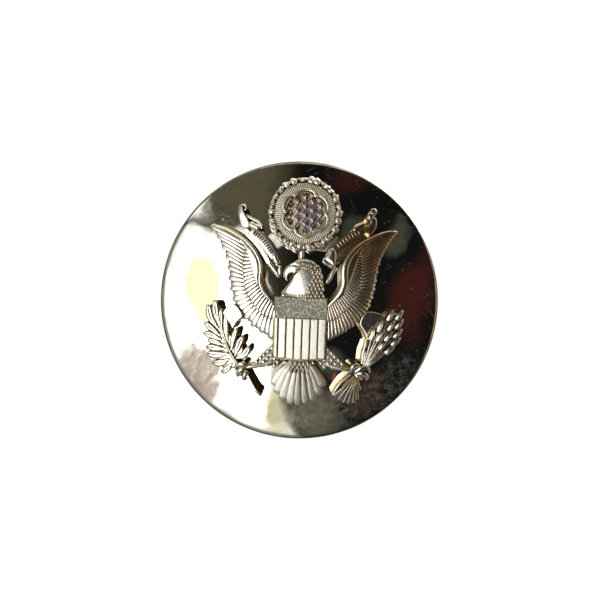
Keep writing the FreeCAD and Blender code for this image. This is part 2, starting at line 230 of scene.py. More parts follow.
def blade(piece, spine, width, height, crown=0.3, lean=0.0, base=0.0, steps=7, start="flat", end="round",
          crease=0.0, tip_drop=0.15, closed=False, patina_and_shade=0.0, outline=1.0):
    """A long crowned shell along a spine: half widths and crest heights are given along its length."""
    rough = curve(spine, np.linspace(0, 1, 24), closed)
    length = np.linalg.norm(np.diff(rough, axis=0), axis=1).sum()
    t, q0, q1 = stations(length, width, steps, start, end, closed)
    taper = np.sqrt(1 - q0**2) * ((1 - q1) ** 0.8 if end == "point" else np.sqrt(1 - q1**2))
    half = along_length(width, t) * np.maximum(taper, THINNEST)
    crest = along_length(height, t) - tip_drop * (q0**2 + q1**2)
    centre = curve(spine, t, closed)
    along = curve(spine, np.clip(t + 0.004, 0, 1), closed) - curve(spine, np.clip(t - 0.004, 0, 1), closed)
    along /= np.linalg.norm(along, axis=1)[:, None]
    side = np.stack([along[:, 1], -along[:, 0]], -1)
    s = ACROSS[None, :]
    middle = np.exp(-((s / CREASE_HALF) ** 2))
    uv = centre[:, None, :] + side[:, None, :] * (half[:, None] * s)[..., None]
    fall = crown * (1 - np.sqrt(1 - 0.985 * np.abs(s) ** CROWN_POWER)) - lean * s + crease * middle
    h = np.maximum(crest[:, None] - fall, base + 0.02)
    top = lift(uv[..., 0], uv[..., 1], h)
    foot = lift(uv[:, [0, -1], 0], uv[:, [0, -1], 1], base)
    n, m = h.shape
    points = np.concatenate([top.reshape(-1, 3), foot.reshape(-1, 3)])
    # the sides, sunk creases and feet get groove values: tarnish with painted shade
    dirt_and_shade = outline * np.abs(s) ** 4 + CREASE_TARNISH_AND_SHADE * max(-crease, 0) * middle + patina_and_shade
    groove = np.concatenate([np.broadcast_to(dirt_and_shade, (n, m)).ravel(), np.full(2 * n, FOOT_TARNISH_AND_SHADE)])
    piece.add(points, strip_faces(n, m, closed), groove)


def inside(p, ring):
    """Which points lie within a closed outline."""
    a, b = ring, np.roll(ring, -1, 0)
    crosses = (a[:, 1] > p[:, 1:2]) != (b[:, 1] > p[:, 1:2])
    rise = np.where(b[:, 1] == a[:, 1], 1e-9, b[:, 1] - a[:, 1])
    where = a[:, 0] + (p[:, 1:2] - a[:, 1]) * (b[:, 0] - a[:, 0]) / rise
    return (crosses & (p[:, :1] < where)).sum(1) % 2 == 1


def outline_ring(outline, spacing, smooth):
    """An outline's points at an even spacing, along a smooth curve or straight lines."""
    if smooth:
        rough = curve(outline, np.linspace(0, 1, 200), True)
        count = int(np.linalg.norm(np.diff(rough, axis=0), axis=1).sum() / spacing)
        return curve(outline, np.linspace(0, 1, count, endpoint=False), True)
    corners = np.asarray(outline, float)
    ring = []
    for a, b in zip(corners, np.roll(corners, -1, 0)):
        parts = max(int(np.linalg.norm(b - a) / spacing), 1)
        ring += [a + (b - a) * i / parts for i in range(parts)]
    return np.array(ring)


EDGE_ROWS = [0.12, 0.45, 1.0, 1.35]
EDGE_ROW_GAPS = [0.1, 0.42, 0.93, 1.27]
GRID_GAP = 1.7


def fill(ring, spacing, edge):
    """Points and triangles that fill a ring, with rows along its edge, and each point's gap from the ring."""
    count = len(ring)
    along = np.roll(ring, -1, 0) - np.roll(ring, 1, 0)
    normal = np.stack([-along[:, 1], along[:, 0]], -1)
    normal /= np.linalg.norm(normal, axis=1)[:, None]
    if not inside(ring[:1] + 0.02 * normal[:1], ring)[0]:
        normal = -normal
    rows = [ring + normal * edge * depth for depth in EDGE_ROWS]
    low, high = ring.min(0), ring.max(0)
    us = np.arange(low[0], high[0], spacing)
    vs = np.arange(low[1], high[1], spacing * 0.866)
    grid = np.array([(u + (i % 2) * spacing / 2, v) for i, v in enumerate(vs) for u in us])
    inner = np.vstack(rows + [grid])
    gap = np.linalg.norm(inner[:, None, :] - ring[None], axis=2).min(1)
    limit = np.concatenate([np.repeat(EDGE_ROW_GAPS, count) * edge, np.full(len(grid), edge * GRID_GAP)])
    keep = inside(inner, ring) & (gap >= limit)
    flat = [Vector(p) for p in np.vstack([ring, inner[keep]])]
    sides = [(i, (i + 1) % count) for i in range(count)]
    cdt = geometry.delaunay_2d_cdt(flat, sides, [list(range(count))], 1, 1e-5)
    uv = np.array([tuple(p) for p in cdt[0]])
    first = [o[0] if o else -1 for o in cdt[3]]
    gap = np.linalg.norm(uv[:, None, :] - ring[None], axis=2).min(1)
    gap[[i for i, o in enumerate(first) if 0 <= o < count]] = 0
    return uv, cdt[2], gap


def patch(piece, outline, height, spacing=0.3, edge=0.2, base=0.0, smooth=True, patina_and_shade=0.0):
    """A shell over a closed outline, with a rounded edge; height is a number or a function of u and v."""
    uv, triangles, gap = fill(outline_ring(outline, spacing, smooth), spacing, edge)
    n = len(uv)
    rim = 1 - np.clip(gap / edge, 0, 1)
    crest = height(uv[:, 0], uv[:, 1]) if callable(height) else np.full(n, float(height))
    h = crest - edge * (1 - np.sqrt(1 - 0.98 * rim**2))
    top = lift(uv[:, 0], uv[:, 1], h)
    foot = lift(uv[:, 0], uv[:, 1], base)
    sides = {(a, b) for face in triangles for a, b in zip(face, face[1:] + face[:1])}
    walls = [[b, a, a + n, b + n] for a, b in sorted(sides) if (b, a) not in sides]
    faces = [list(f) for f in triangles] + [[i + n for i in reversed(f)] for f in triangles] + walls
    # the rounded edge and the feet get groove values: tarnish with painted shade
    piece.add(np.vstack([top, foot]), faces, np.concatenate([rim**2 + patina_and_shade, np.full(n, FOOT_TARNISH_AND_SHADE)]))


def lathe(piece, profile, segments, groove):
    """A closed profile of (radius, y) turned about the badge's axis."""
    profile = np.asarray(profile, float)
    turn = np.linspace(0, 2 * math.pi, segments, endpoint=False)[:, None]
    r, y = profile[None, :, 0], profile[None, :, 1]
    points = np.stack([r * np.sin(turn), y + 0 * turn, r * np.cos(turn)], -1)
    faces = [face[::-1] for face in quads(segments, len(profile), True, True)]
    piece.add(points, faces, np.tile(groove, segments))


# ---- materials ----
class Field:
    """A node's output; sums and products of fields make the nodes for them."""

    def __init__(self, nodes, socket):
        self.nodes = nodes
        self.socket = socket

    def __add__(self, other):
        return self.nodes.math("ADD", self, other)

    def __radd__(self, other):
        return self.nodes.math("ADD", other, self)

    def __sub__(self, other):
        return self.nodes.math("SUBTRACT", self, other)

    def __rsub__(self, other):
        return self.nodes.math("SUBTRACT", other, self)

    def __mul__(self, other):
        return self.nodes.math("MULTIPLY", self, other)


class Nodes:
    """The nodes of a material or of the world; mm holds its coordinates in millimetres."""

    def __init__(self, tree):
        self.tree = tree
        self.mm = None

    def put(self, socket, value):
        """Link a field to a node's input, or set the input to a plain value."""
        if isinstance(value, Field):
            self.tree.links.new(value.socket, socket)
        elif socket.type == "RGBA":
            socket.default_value = (*value, 1)
        else:
            socket.default_value = value

    def add(self, kind, inputs=None, output=0, **settings):
        """Make a node and return one of its outputs."""
        node = self.tree.nodes.new(kind)
        for key, value in settings.items():
            setattr(node, key, value)
        for key, value in (inputs or {}).items():
            self.put(node.inputs[key], value)
        return Field(self, node.outputs[output])

    def math(self, operation, a, b):
        return self.add("ShaderNodeMath", {0: a, 1: b}, operation=operation)

    def vector(self, operation, *inputs):
        output = "Value" if operation == "LENGTH" else "Vector"
        return self.add("ShaderNodeVectorMath", dict(enumerate(inputs)), output, operation=operation)

    def axes(self, place):
        """The x, y and z of a place."""
        node = self.add("ShaderNodeSeparateXYZ", {0: place}).socket.node
        return [Field(self, output) for output in node.outputs]

    def from_axis(self, place):
        """How far a place is from the badge's axis."""
        x, _, z = self.axes(place)
        return self.vector("LENGTH", self.add("ShaderNodeCombineXYZ", {0: x, 2: z}))

    def placed(self, scale, tilt, location=(0, 0, 0)):
        """Coordinates about a location, tilted in the face's plane and measured in the scale."""
        turn = (0, math.radians(tilt), 0)
        inputs = {"Vector": self.mm, "Location": location, "Rotation": turn, "Scale": scale}
        return self.add("ShaderNodeMapping", inputs, vector_type="TEXTURE")

    def noise(self, scale, detail=4.0, rough=0.55, stretch=None, warp=0.0):
        """Smooth noise; a stretch is its size along each axis and its tilt."""
        where = self.placed(*stretch) if stretch else self.mm
        inputs = {"Vector": where, "Scale": scale, "Detail": detail, "Roughness": rough, "Distortion": warp}
        return self.add("ShaderNodeTexNoise", inputs, "Fac")

    def ramp(self, value, low, high, to_low=0.0, to_high=1.0):
        """A smooth step from one value to another as the input goes from low to high."""
        inputs = {"Value": value, "From Min": low, "From Max": high, "To Min": to_low, "To Max": to_high}
        return self.add("ShaderNodeMapRange", inputs, interpolation_type="SMOOTHSTEP")

    def mix(self, share, a, b):
        """Colour a with a share of colour b."""
        return self.add("ShaderNodeMix", {"Factor": share, 6: a, 7: b}, 2, data_type="RGBA")

    def spot(self, x, z, rx, rz, tilt=0.0):
        """A soft oval mask about a point of the face, 1 inside and 0 outside."""
        return self.ramp(self.vector("LENGTH", self.placed((rx, 1e6, rz), tilt, (x, 0, z))), 1.0, 0.35)


class Shader(Nodes):
    """A material built from nodes."""

    def __init__(self, name):
        self.material = bpy.data.materials.new(name)
        self.material.use_nodes = True
        super().__init__(self.material.node_tree)
        where = self.add("ShaderNodeTexCoord", output="Object")
        self.mm = self.vector("MULTIPLY", where, (1 / MM, 1 / MM, 1 / MM))

    def groove(self):
        """The mesh's groove attribute: tarnish and painted shade on the emblem, 1 behind the disc."""
        return self.add("ShaderNodeAttribute", output="Fac", attribute_name="groove")

    def openness(self, reach):
        """1 in the open and 0 deep in a crevice."""
        return self.add("ShaderNodeAmbientOcclusion", {"Distance": reach * MM}, "AO", samples=6)

    def bump(self, height, distance, onto=None):
        inputs = {"Height": height, "Distance": distance * MM}
        if onto:
            inputs["Normal"] = onto
        return self.add("ShaderNodeBump", inputs)

    def finish(self, colour, roughness, normal, metallic=1.0):
        main = self.tree.nodes["Principled BSDF"]
        values = {"Base Color": colour, "Roughness": roughness, "Normal": normal, "Metallic": metallic}
        for name, value in values.items():
            self.put(main.inputs[name], value)
        return self.material


def struck_gilt(name, satin=0.26, hammer=0.008, stipple=0.0, metal=1.0):
    """Pale gilt with a satin grain, pale on top, browner over the upper right, amber on its walls as a
    painted warm reflection, and brown in every hollow: tarnish deepened by painted shade from occlusion.
    """
    sh = Shader(name)
    cloudy = sh.noise(0.9, 5)
    speck = sh.noise(7.0, 4, 0.65)
    tone = sh.mix(sh.ramp(cloudy, 0.3, 0.7), (0.91, 0.895, 0.79), (0.955, 0.95, 0.90))
    # browner over the upper right of the emblem
    toned = sh.spot(12.0, 9.0, 7.5, 7.5) * sh.ramp(cloudy, 0.25, 0.6, 0.55, 0.85)
    tone = sh.mix(toned, tone, (0.42, 0.28, 0.14))
    tone = sh.mix(sh.ramp(speck, 0.52, 0.68, 0, 0.6), tone, (0.54, 0.50, 0.41))
    # occlusion and the groove values: tarnish deepened by painted shade in hollows and at the feet of walls
    dirt_and_shade = (1.0 - sh.openness(0.35)) * 0.85 + sh.groove() * 0.27 + (speck - 0.5) * 0.3
    # amber on walls and edges: a painted warm reflection
    amber = sh.mix(sh.ramp(dirt_and_shade, 0.17, 0.42), tone, (0.60, 0.42, 0.18))
    mask = sh.ramp(dirt_and_shade, 0.38, 0.64)
    colour = sh.mix(mask, amber, (0.085, 0.042, 0.020))
    rough = sh.ramp(mask + speck * 0.4, 0.05, 1.2, satin, 0.62)
    normal = sh.bump(speck, hammer)
    if stipple:
        pits = sh.ramp(sh.noise(3.8, 3, 0.75), 0.38, 0.62)
        normal = sh.bump(pits, stipple, normal)
        colour = sh.mix(sh.ramp(pits, 0.0, 1.0, 0.05, 0.95), colour, (0.41, 0.41, 0.33))
        rough = sh.ramp(pits, 0.0, 1.0, 0.36, 0.55)
    return sh.finish(colour, rough, normal, sh.ramp(mask, 0.3, 1.0, metal, 0.35))


def toned_field():
    """The glory's sunk field: purple-brown toning; the high points keep their gold, lightened as a painted
    highlight, with a painted pale violet sheen.
    """
    sh = Shader("toned field")
    speck = sh.noise(5.0, 5, 0.6)
    patchy = sh.noise(0.7, 3)
    toning = sh.mix(sh.ramp(patchy, 0.42, 0.6), (0.22, 0.075, 0.05), (0.25, 0.13, 0.16))
    # where the painted violet sheen is strongest
    violet = sh.spot(1.3, 13.4, 3.4, 3.6, 20) + sh.ramp(patchy, 0.35, 0.65, -0.5, 0.5)
    bright = sh.mix(sh.ramp(violet, 0.0, 1.0, 0.0, 0.75), (1.0, 0.93, 0.66), (0.80, 0.74, 0.90))
    # the high points get the bright colours: painted highlight
    high = 0.75 + speck * 0.5 - sh.groove()
    colour = sh.mix(sh.ramp(high, 0.45, 0.95), toning, bright)
    return sh.finish(colour, sh.ramp(speck, 0.3, 0.7, 0.2, 0.36), sh.bump(speck, 0.03))


WIPED = ((0.7, 1.0, 2.6), 38)
SCRATCH = (5.0, 1, 0.14)
SCRATCH_ANGLES = (12, 57, -33, 81)


def mirror_brass():
    """Polished in front with faint wipe marks, specks and tarnish; plain brown brass behind (groove is 1)."""
    sh = Shader("polished disc")
    haze = sh.noise(0.35, 6, 0.6, warp=0.6)
    cloud = sh.noise(1.1, 6, 0.7, warp=0.8)
    smear = sh.spot(-15.0, -11.5, 4.6, 7.0, -38) * sh.ramp(sh.noise(0.5, 5, 0.62, WIPED, 0.4), 0.40, 0.62)
    smoke = sh.spot(-13.5, 12.8, 4.6, 2.6, 12) * sh.ramp(cloud, 0.42, 0.56)
    film = sh.spot(5.0, -17.5, 9.0, 4.6, -12) * sh.ramp(cloud, 0.38, 0.62)
    spots = sh.ramp(sh.noise(2.6, 3), 0.735, 0.77)
    rim = sh.ramp(sh.from_axis(sh.mm) + haze * 0.35, 22.0, 22.24)
    behind = sh.groove()
    marks = sh.ramp(sh.noise(1.7, 2, 0.4), 0.72, 0.76)
    for angle in SCRATCH_ANGLES:
        marks = sh.math("MAXIMUM", marks, sh.ramp(sh.noise(1.0, 1, 0.3, (SCRATCH, angle)), 0.765, 0.79))
    tone = sh.mix(sh.ramp(haze, 0.35, 0.7), (0.95, 0.93, 0.88), (0.91, 0.88, 0.79))
    stains = [(smear, 0.3, (0.22, 0.165, 0.125)), (smoke, 0.75, (0.33, 0.33, 0.27)),
              (spots, 0.6, (0.30, 0.20, 0.12)), (rim, 0.92, (0.16, 0.145, 0.09))]
    for mask, share, colour in stains:
        tone = sh.mix(mask * share, tone, colour)
    plain = sh.mix(sh.ramp(haze, 0.3, 0.7), (0.58, 0.45, 0.25), (0.40, 0.29, 0.15))
    plain = sh.mix(sh.ramp(cloud, 0.55, 0.7), plain, (0.26, 0.18, 0.10))
    rough = sh.ramp(haze, 0.3, 0.75, 0.01, 0.035)
    for mask, share in ((smear, 0.15), (smoke, 0.12), (film, 0.14), (rim, 0.3), (marks, 0.13),
                        (behind, sh.ramp(cloud, 0.3, 0.7, 0.24, 0.42))):
        rough = rough + mask * share
    worn = sh.spot(14.0, -13.0, 9.5, 4.4, -42) * sh.ramp(cloud, 0.42, 0.68, 0.0, 0.12)
    dust = sh.ramp(sh.noise(4.5, 1), 0.74, 0.8) * 0.3
    for mask in (marks * 0.1, worn, film * 0.10):
        dust = sh.math("MAXIMUM", dust, mask)
    normal = sh.bump(sh.noise(0.16, 2), 0.06)
    return sh.finish(sh.mix(behind, tone, plain), rough, normal, 1.0 - dust)


def fixing_metal(name, bright, dull, grime_and_shade_colour, polish, turned=0.0):
    """Worn fixing metal: clouded colour, grime with painted shade from occlusion in the corners and, if
    turned, fine tool rings.
    """
    sh = Shader(name)
    cloudy = sh.noise(0.7, 6, 0.6)
    grain = sh.noise(7.0, 4)
    tone = sh.mix(sh.ramp(cloudy, 0.32, 0.68), bright, dull)
    # occlusion darkens the corners: grime with painted shade
    dirt_and_shade = 1.0 + (grain - 0.5) * 0.7 - sh.openness(0.9)
    tone = sh.mix(sh.ramp(dirt_and_shade, 0.2, 0.6), tone, grime_and_shade_colour)
    normal = sh.bump(grain, 0.012)
    if turned:
        rings = sh.math("SINE", sh.from_axis(sh.mm) * 42.0, 0.0)
        normal = sh.bump(rings, turned, normal)
    return sh.finish(tone, sh.ramp(grain, 0.25, 0.75, polish - 0.08, polish + 0.16), normal)


# ---- the disc and the post ----
def arc(centre, radius, start, stop, steps, first=0):
    """Points (radius, y) of an arc in the disc's section; its angle is from the front, about the centre."""
    angles = [start + (stop - start) * i / steps for i in range(first, steps + 1)]
    return [(centre[0] + radius * math.sin(a), centre[1] - radius * math.cos(a)) for a in angles]


def disc(material):
    """The domed sheet with its rolled and flattened rim."""
    inner = DOME_RADIUS - SHEET
    to_bead = math.asin(BEAD_R / inner)
    to_hole = math.asin(POST_HOLE_RADIUS / DOME_RADIUS)
    to_hem = math.asin(HEM_INNER_RADIUS / inner)
    profile = arc((0, DOME_Y), DOME_RADIUS, to_hole, to_bead, 60)
    profile += arc((BEAD_R, -SHEET), SHEET, to_bead, math.pi, 16, first=1)
    front = len(profile) - 4
    hem = (HEM_INNER_RADIUS + HEM_EDGE_ROUND, -HEM_EDGE_ROUND)
    profile += arc(hem, HEM_EDGE_ROUND, math.pi, 1.5 * math.pi, 6)
    profile += arc((0, DOME_Y), inner, to_hem, to_hole, 40)
    piece = Piece()
    lathe(piece, profile, 256, [0.0] * front + [1.0] * (len(profile) - front))
    piece.build("disc_shell", material, "face_disc")


def threaded_post(material):
    """A right-hand thread whose end is chamfered; its front end is hidden in the emblem."""
    corners = 40
    rows = int((POST_END - POST_FRONT) / THREAD_PITCH * 12)
    turn = np.linspace(0, 2 * math.pi, corners, endpoint=False)[None, :]
    y = np.linspace(POST_FRONT, POST_END, rows)[:, None]
    phase = (y / THREAD_PITCH - turn / (2 * math.pi)) % 1.0
    flank = np.clip((np.abs(phase - 0.5) * 2 - 0.12) / 0.76, 0, 1)
    r = THREAD_RADIUS - THREAD_DEPTH * flank
    r = np.minimum(r, THREAD_RADIUS - np.clip(y - POST_END + POST_CHAMFER, 0, None))
    points = np.stack([r * np.sin(turn), y + 0 * turn, r * np.cos(turn)], -1)
    piece = Piece()
    piece.add(points, quads(rows, corners, closed_columns=True) + caps(rows, corners), 0.0)
    piece.build("threaded_post", material, "screw_post", sharp=50)


# ---- the emblem ----
def fan(piece, roots, tips, width, height, count, bow, notch, **more):
    """Overlapping feathers from one curve to another; every second tip is drawn back by the notch."""
    at = np.linspace(0, 1, count)
    root = curve(roots, at)
    tip = curve(tips, at)
    for i in range(count):
        way = tip[i] - root[i]
        pull = notch * (i % 2) + jitter(0.04)
        end = tip[i] - way / np.linalg.norm(way) * pull
        side = np.array([way[1], -way[0]]) * bow
        middle = (root[i] + end) / 2 + side
        blade(piece, [root[i], middle, end], width, height, **more)


LEADING = [(4.2, -1.0), (5.3, 0.1), (6.3, 1.3), (6.85, 2.9), (6.75, 4.3), (6.9, 5.8), (7.5, 7.1), (8.6, 8.5),
           (9.9, 9.6), (11.3, 10.45), (13.0, 11.2), (15.0, 11.6)]
BOUNDARY = [(9.2, 8.6), (9.35, 7.6), (9.5, 6.3), (9.45, 4.8), (9.3, 3.3), (9.0, 1.8), (8.5, 0.5), (7.8, -0.7),
            (6.8, -1.9), (5.7, -2.8), (4.5, -3.2)]
OUTER_TIPS = [(15.1, 11.6), (14.2, 10.4), (13.5, 9.1), (12.8, 7.7), (12.35, 6.3), (12.15, 5.0), (12.0, 3.6),
              (11.8, 2.2), (11.5, 0.9), (11.1, -0.5), (10.5, -1.9), (9.6, -3.0), (8.6, -3.9), (7.6, -4.7),
              (6.5, -5.4), (5.5, -6.0), (4.7, -6.4)]
INNER_ROOTS = [(8.4, 7.6), (7.4, 5.8), (7.2, 4.4), (7.1, 2.9), (6.6, 1.4), (5.7, 0.2), (4.6, -0.8),
               (4.1, -1.4)]
INNER_TIPS = [(9.4, 8.3), (9.7, 6.9), (9.8, 5.3), (9.7, 3.8), (9.5, 2.3), (9.0, 0.9), (8.4, -0.3),
              (7.5, -1.5), (6.4, -2.6), (5.2, -3.2), (4.4, -3.4)]
SHOULDER = [(11.0, 10.0), (8.7, 8.3), (7.4, 6.6), (6.9, 4.6), (7.0, 2.8), (6.7, 1.6), (7.5, 2.6), (8.2, 4.4),
            (8.8, 6.4), (9.4, 8.0)]
WING_BODY = [(14.4, 11.7), (11.0, 10.8), (8.0, 8.9), (6.4, 6.5), (6.1, 3.1), (5.2, 1.2), (3.8, -0.5),
             (3.9, -5.8), (5.6, -5.4), (8.2, -3.8), (10.2, -1.9), (11.0, 0.6), (11.5, 3.4), (11.9, 6.2),
             (12.8, 8.6)]


def wing_slope(u, v):
    """The smooth shoulder falls from the leading edge towards the feathers."""
    return 2.45 - 0.06 * (np.abs(u) - 7.0) - 0.02 * (np.asarray(v) - 3.0)


def feather_widths(count, shape, length):
    """Half widths that make so many feathers just overlap along an edge."""
    return [0.97 * length / count * part for part in shape]


OUTER_EDGE = 13.3
INNER_EDGE = 7.0


def wing(piece, side, outer, inner):
    """Long outer feathers under a row of coverts, a smooth shoulder and a rounded leading edge."""
    right = side > 0
    boundary = sided(side, BOUNDARY)
    crown, notch = (0.25, 0.1) if right else (0.16, 0.24)
    # the wing body, seen between the feathers, is darkened: tarnish with painted shade
    patch(piece, sided(side, WING_BODY), 1.3, 0.5, 0.55, patina_and_shade=0.5)
    fan(piece, boundary, sided(side, OUTER_TIPS), feather_widths(outer, [0.5, 0.86, 1.0, 0.95], OUTER_EDGE),
        [2.0, 1.95, 1.8, 1.6], outer, -0.02 * side, notch, crown=crown, lean=0.05 * side)
    fan(piece, sided(side, INNER_ROOTS), sided(side, INNER_TIPS),
        feather_widths(inner, [0.7, 1.0, 1.05, 1.0], INNER_EDGE), [2.3, 2.28, 2.2, 2.1], inner, -0.02 * side,
        0.06, crown=crown, base=0.3, lean=0.03 * side)
    patch(piece, sided(side, SHOULDER), wing_slope, 0.35, 0.3, base=0.5)
    edge = [0.34, 0.6, 0.62, 0.42, 0.32, 0.3] if right else [0.24, 0.32, 0.34, 0.34, 0.32, 0.28]
    top = 0.0 if right else 0.12
    crest = [h - top for h in (2.1, 2.5, 2.55, 2.4, 2.15, 1.95)]
    blade(piece, sided(side, LEADING), edge, crest, crown=0.35, steps=40, end="point")
    if right:
        # small beads between the coverts and the long feathers
        for at in curve(boundary, np.linspace(0.34, 0.62, 7)):
            blade(piece, [at + (0.02, 0.09), at - (0.02, 0.09)], [0.16], [2.3], base=1.0, start="round",
                  steps=3)
    else:
        # a low strip inside the leading edge, darkened to stand for its wall in shade: painted shade
        wall = [(u - 0.4, v + 0.25) for u, v in LEADING[3:-1]]
        blade(piece, sided(side, wall), [0.3, 0.36, 0.3], [1.0, 1.1, 0.9], crown=0.1, steps=24, patina_and_shade=0.95)


def head_height(u, v):
    """The head's domed crest."""
    r = ((np.asarray(u) - 1.5) / 5.2) ** 2 + ((np.asarray(v) - 3.2) / 4.8) ** 2
    return 1.45 + 1.3 * np.sqrt(np.clip(1 - r, 0.02, 1))


HEAD = [(-0.3, 6.6), (1.6, 6.25), (2.7, 5.2), (3.2, 3.8), (3.4, 2.4), (3.4, 0.9), (2.9, -0.4), (-3.2, -0.4),
        (-3.3, 0.9), (-2.6, 1.9), (-1.9, 2.9), (-1.6, 3.9), (-1.9, 5.2), (-1.5, 6.0)]


def head(piece):
    """A bird's head in profile, hooked beak to the left, with tufted neck feathers."""
    patch(piece, HEAD, head_height, 0.25, 0.35)
    # the upper beak, the lower beak, the brow, the eye and a dark line from the eye to the throat, a painted
    # shadow under the beak
    blade(piece, [(-0.7, 5.1), (-1.6, 5.0), (-2.3, 4.5), (-2.55, 3.8), (-2.45, 3.05)],
          [0.62, 0.78, 0.74, 0.56, 0.24], [2.62, 2.55, 2.4, 2.25, 2.05], crown=0.4, steps=12, end="point")
    blade(piece, [(-0.9, 4.2), (-1.4, 3.75), (-1.9, 3.1)], [0.36, 0.4, 0.3], [2.4, 2.25, 2.05], base=0.3)
    blade(piece, [(-2.1, 5.5), (-1.2, 5.75), (-0.3, 5.4)], [0.16, 0.24, 0.2], [2.55, 2.75, 2.75],
          start="round", base=1.0)
    blade(piece, [(-1.15, 4.98), (-0.85, 4.98)], [0.2], [2.78], start="round", base=1.0)
    blade(piece, [(-0.5, 5.1), (-1.0, 4.4), (-1.6, 3.8), (-2.1, 3.15)], [0.12, 0.17, 0.14],
          [2.76, 2.72, 2.64, 2.36], crown=0.05, base=1.0, patina_and_shade=2.2, start="round", steps=10)
    ring = curve(HEAD, np.linspace(0, 1, 120), True)
    # tufts down the nape and the neck
    for row in range(8):
        for step in range(14):
            u = -3.4 + step * 0.6 + (row % 2) * 0.3 + jitter(0.06)
            v = 4.9 - row * 0.62 + jitter(0.06)
            if u < 0.35 + 0.26 * (v - 1.0) or not inside(np.array([[u, v]]), ring)[0]:
                continue
            crest = float(head_height(u, v))
            blade(piece, [(u, v), (u + 0.36, v - 1.0)], [0.12, 0.26, 0.2],
                  [crest - 0.05, crest + 0.22, crest + 0.16], crown=0.32, base=0.8, steps=5, end="point",
                  lean=0.05)
    # the hem of tufts above the shield
    for i in range(9):
        u = -2.5 + 0.5 * i
        crest = float(head_height(u, 0.8))
        blade(piece, [(u, 1.2 - 0.1 * (i % 2)), (u + 0.16, 0.2)], [0.12, 0.22, 0.24],
              [crest, crest + 0.24, crest + 0.22], crown=0.34, base=0.8, steps=5, end="point")
    # small bumps over the crown
    for i in range(24):
        a = math.radians(8 + 6.6 * i)
        for ring_at in (1.6, 2.25, 2.85):
            u = 0.3 + ring_at * math.cos(a) * 1.03 + jitter(0.2)
            v = 3.7 + ring_at * math.sin(a) * 0.94 + jitter(0.16)
            if u < -1.6 or v < 4.5 or not inside(np.array([[u, v]]), ring)[0]:
                continue
            crest = float(head_height(u, v)) + rng.uniform(0.06, 0.22)
            blade(piece, [(u, v), (u + 0.2, v - 0.3)], [0.17, 0.19], [crest, crest + 0.04], crown=0.24,
                  base=0.8, start="round", steps=3)


SHIELD_HALF = 4.15
SHIELD_U = -0.1
SHIELD_TOP = 0.35
CHIEF = -2.95
SHIELD_FOOT = -9.35
BARS = 7
FIRST_BAR = 0.66
BAR_GAP = 0.13


def shield_bars(piece):
    """Seven upright bars on a plate whose lower corners are rounded."""
    w = SHIELD_HALF
    right_side = [(w, SHIELD_TOP + 0.13), (w, -8.8), (w - 0.25, SHIELD_FOOT), (w - 0.8, -9.6)]
    plate = sided(-1, right_side[:1]) + right_side + [(0, -9.8)] + sided(-1, right_side[:0:-1])
    # the plate shows in the gaps between the bars, darkened: tarnish with painted shade
    patch(piece, [(1.03 * u + SHIELD_U, v) for u, v in plate], 2.2, 0.4, 0.15, smooth=False, patina_and_shade=0.8)
    pitch = (2 * w - FIRST_BAR) / (BARS - 1)
    for i in range(BARS):
        left = SHIELD_U - w + (FIRST_BAR + pitch * (i - 1) if i else 0) + BAR_GAP / 2
        right = SHIELD_U - w + FIRST_BAR + pitch * i - BAR_GAP / 2
        middle = (left + right) / 2
        foot = SHIELD_FOOT + 0.15 - 0.3 * (1 - ((middle - SHIELD_U) / w) ** 2)
        bar = [(left, CHIEF), (right, CHIEF), (right, foot + 0.2), (right - 0.2, foot), (left + 0.2, foot),
               (left, foot + 0.2)]
        patch(piece, bar, lambda u, v: 2.55 + 0.07 * (u - middle), 0.35, 0.1, base=1.2, smooth=False)


def shield_chief(piece):
    """The plain stippled panel across the top of the shield."""
    w = SHIELD_HALF
    panel = [(-w, SHIELD_TOP), (w, SHIELD_TOP), (w, CHIEF), (-w, CHIEF)]
    patch(piece, [(u + SHIELD_U, v) for u, v in panel], 2.6, 0.3, 0.14, base=1.0, smooth=False)


TAIL_ROOT = -9.3


def tail(piece):
    """A fan of long round-ended feathers with short tufts at its root."""
    web = [(-1.7, -9.0), (1.7, -9.0), (2.2, -11.5), (2.6, -14.2), (0, -15.4), (-2.6, -14.2), (-2.2, -11.5)]
    patch(piece, web, 1.3, 0.4, 0.3)
    tips = [(-4.1, -13.8), (-3.55, -15.2), (-2.6, -16.2), (-1.35, -16.8), (0.0, -17.0)]
    for i, (out, v) in enumerate(tips):
        for side in ((-1, 1) if out else (1,)):
            u = -out * side
            feather = [(u * 0.22, TAIL_ROOT), (u * 0.67, TAIL_ROOT + (v - TAIL_ROOT) * 0.48), (u, v)]
            blade(piece, feather, [0.2, 0.34, 0.5, 0.68, 0.74], [2.0, 1.95, 1.85 + 0.05 * i, 1.8], crown=0.12,
                  steps=12, lean=0.05 + 0.05 * side, outline=1.9)
    for row in range(3):
        for k in range(5 - row % 2):
            u = (k - (4 - row % 2) / 2) * 0.62
            v = -9.75 - 0.55 * row
            blade(piece, [(u, v), (u * 1.15, v - 0.9)], [0.16, 0.26, 0.22], [2.2, 2.3, 2.12], crown=0.28,
                  base=1.0, steps=4)
    piece.stand_off(0.5, beyond=9.6, over=1.4)


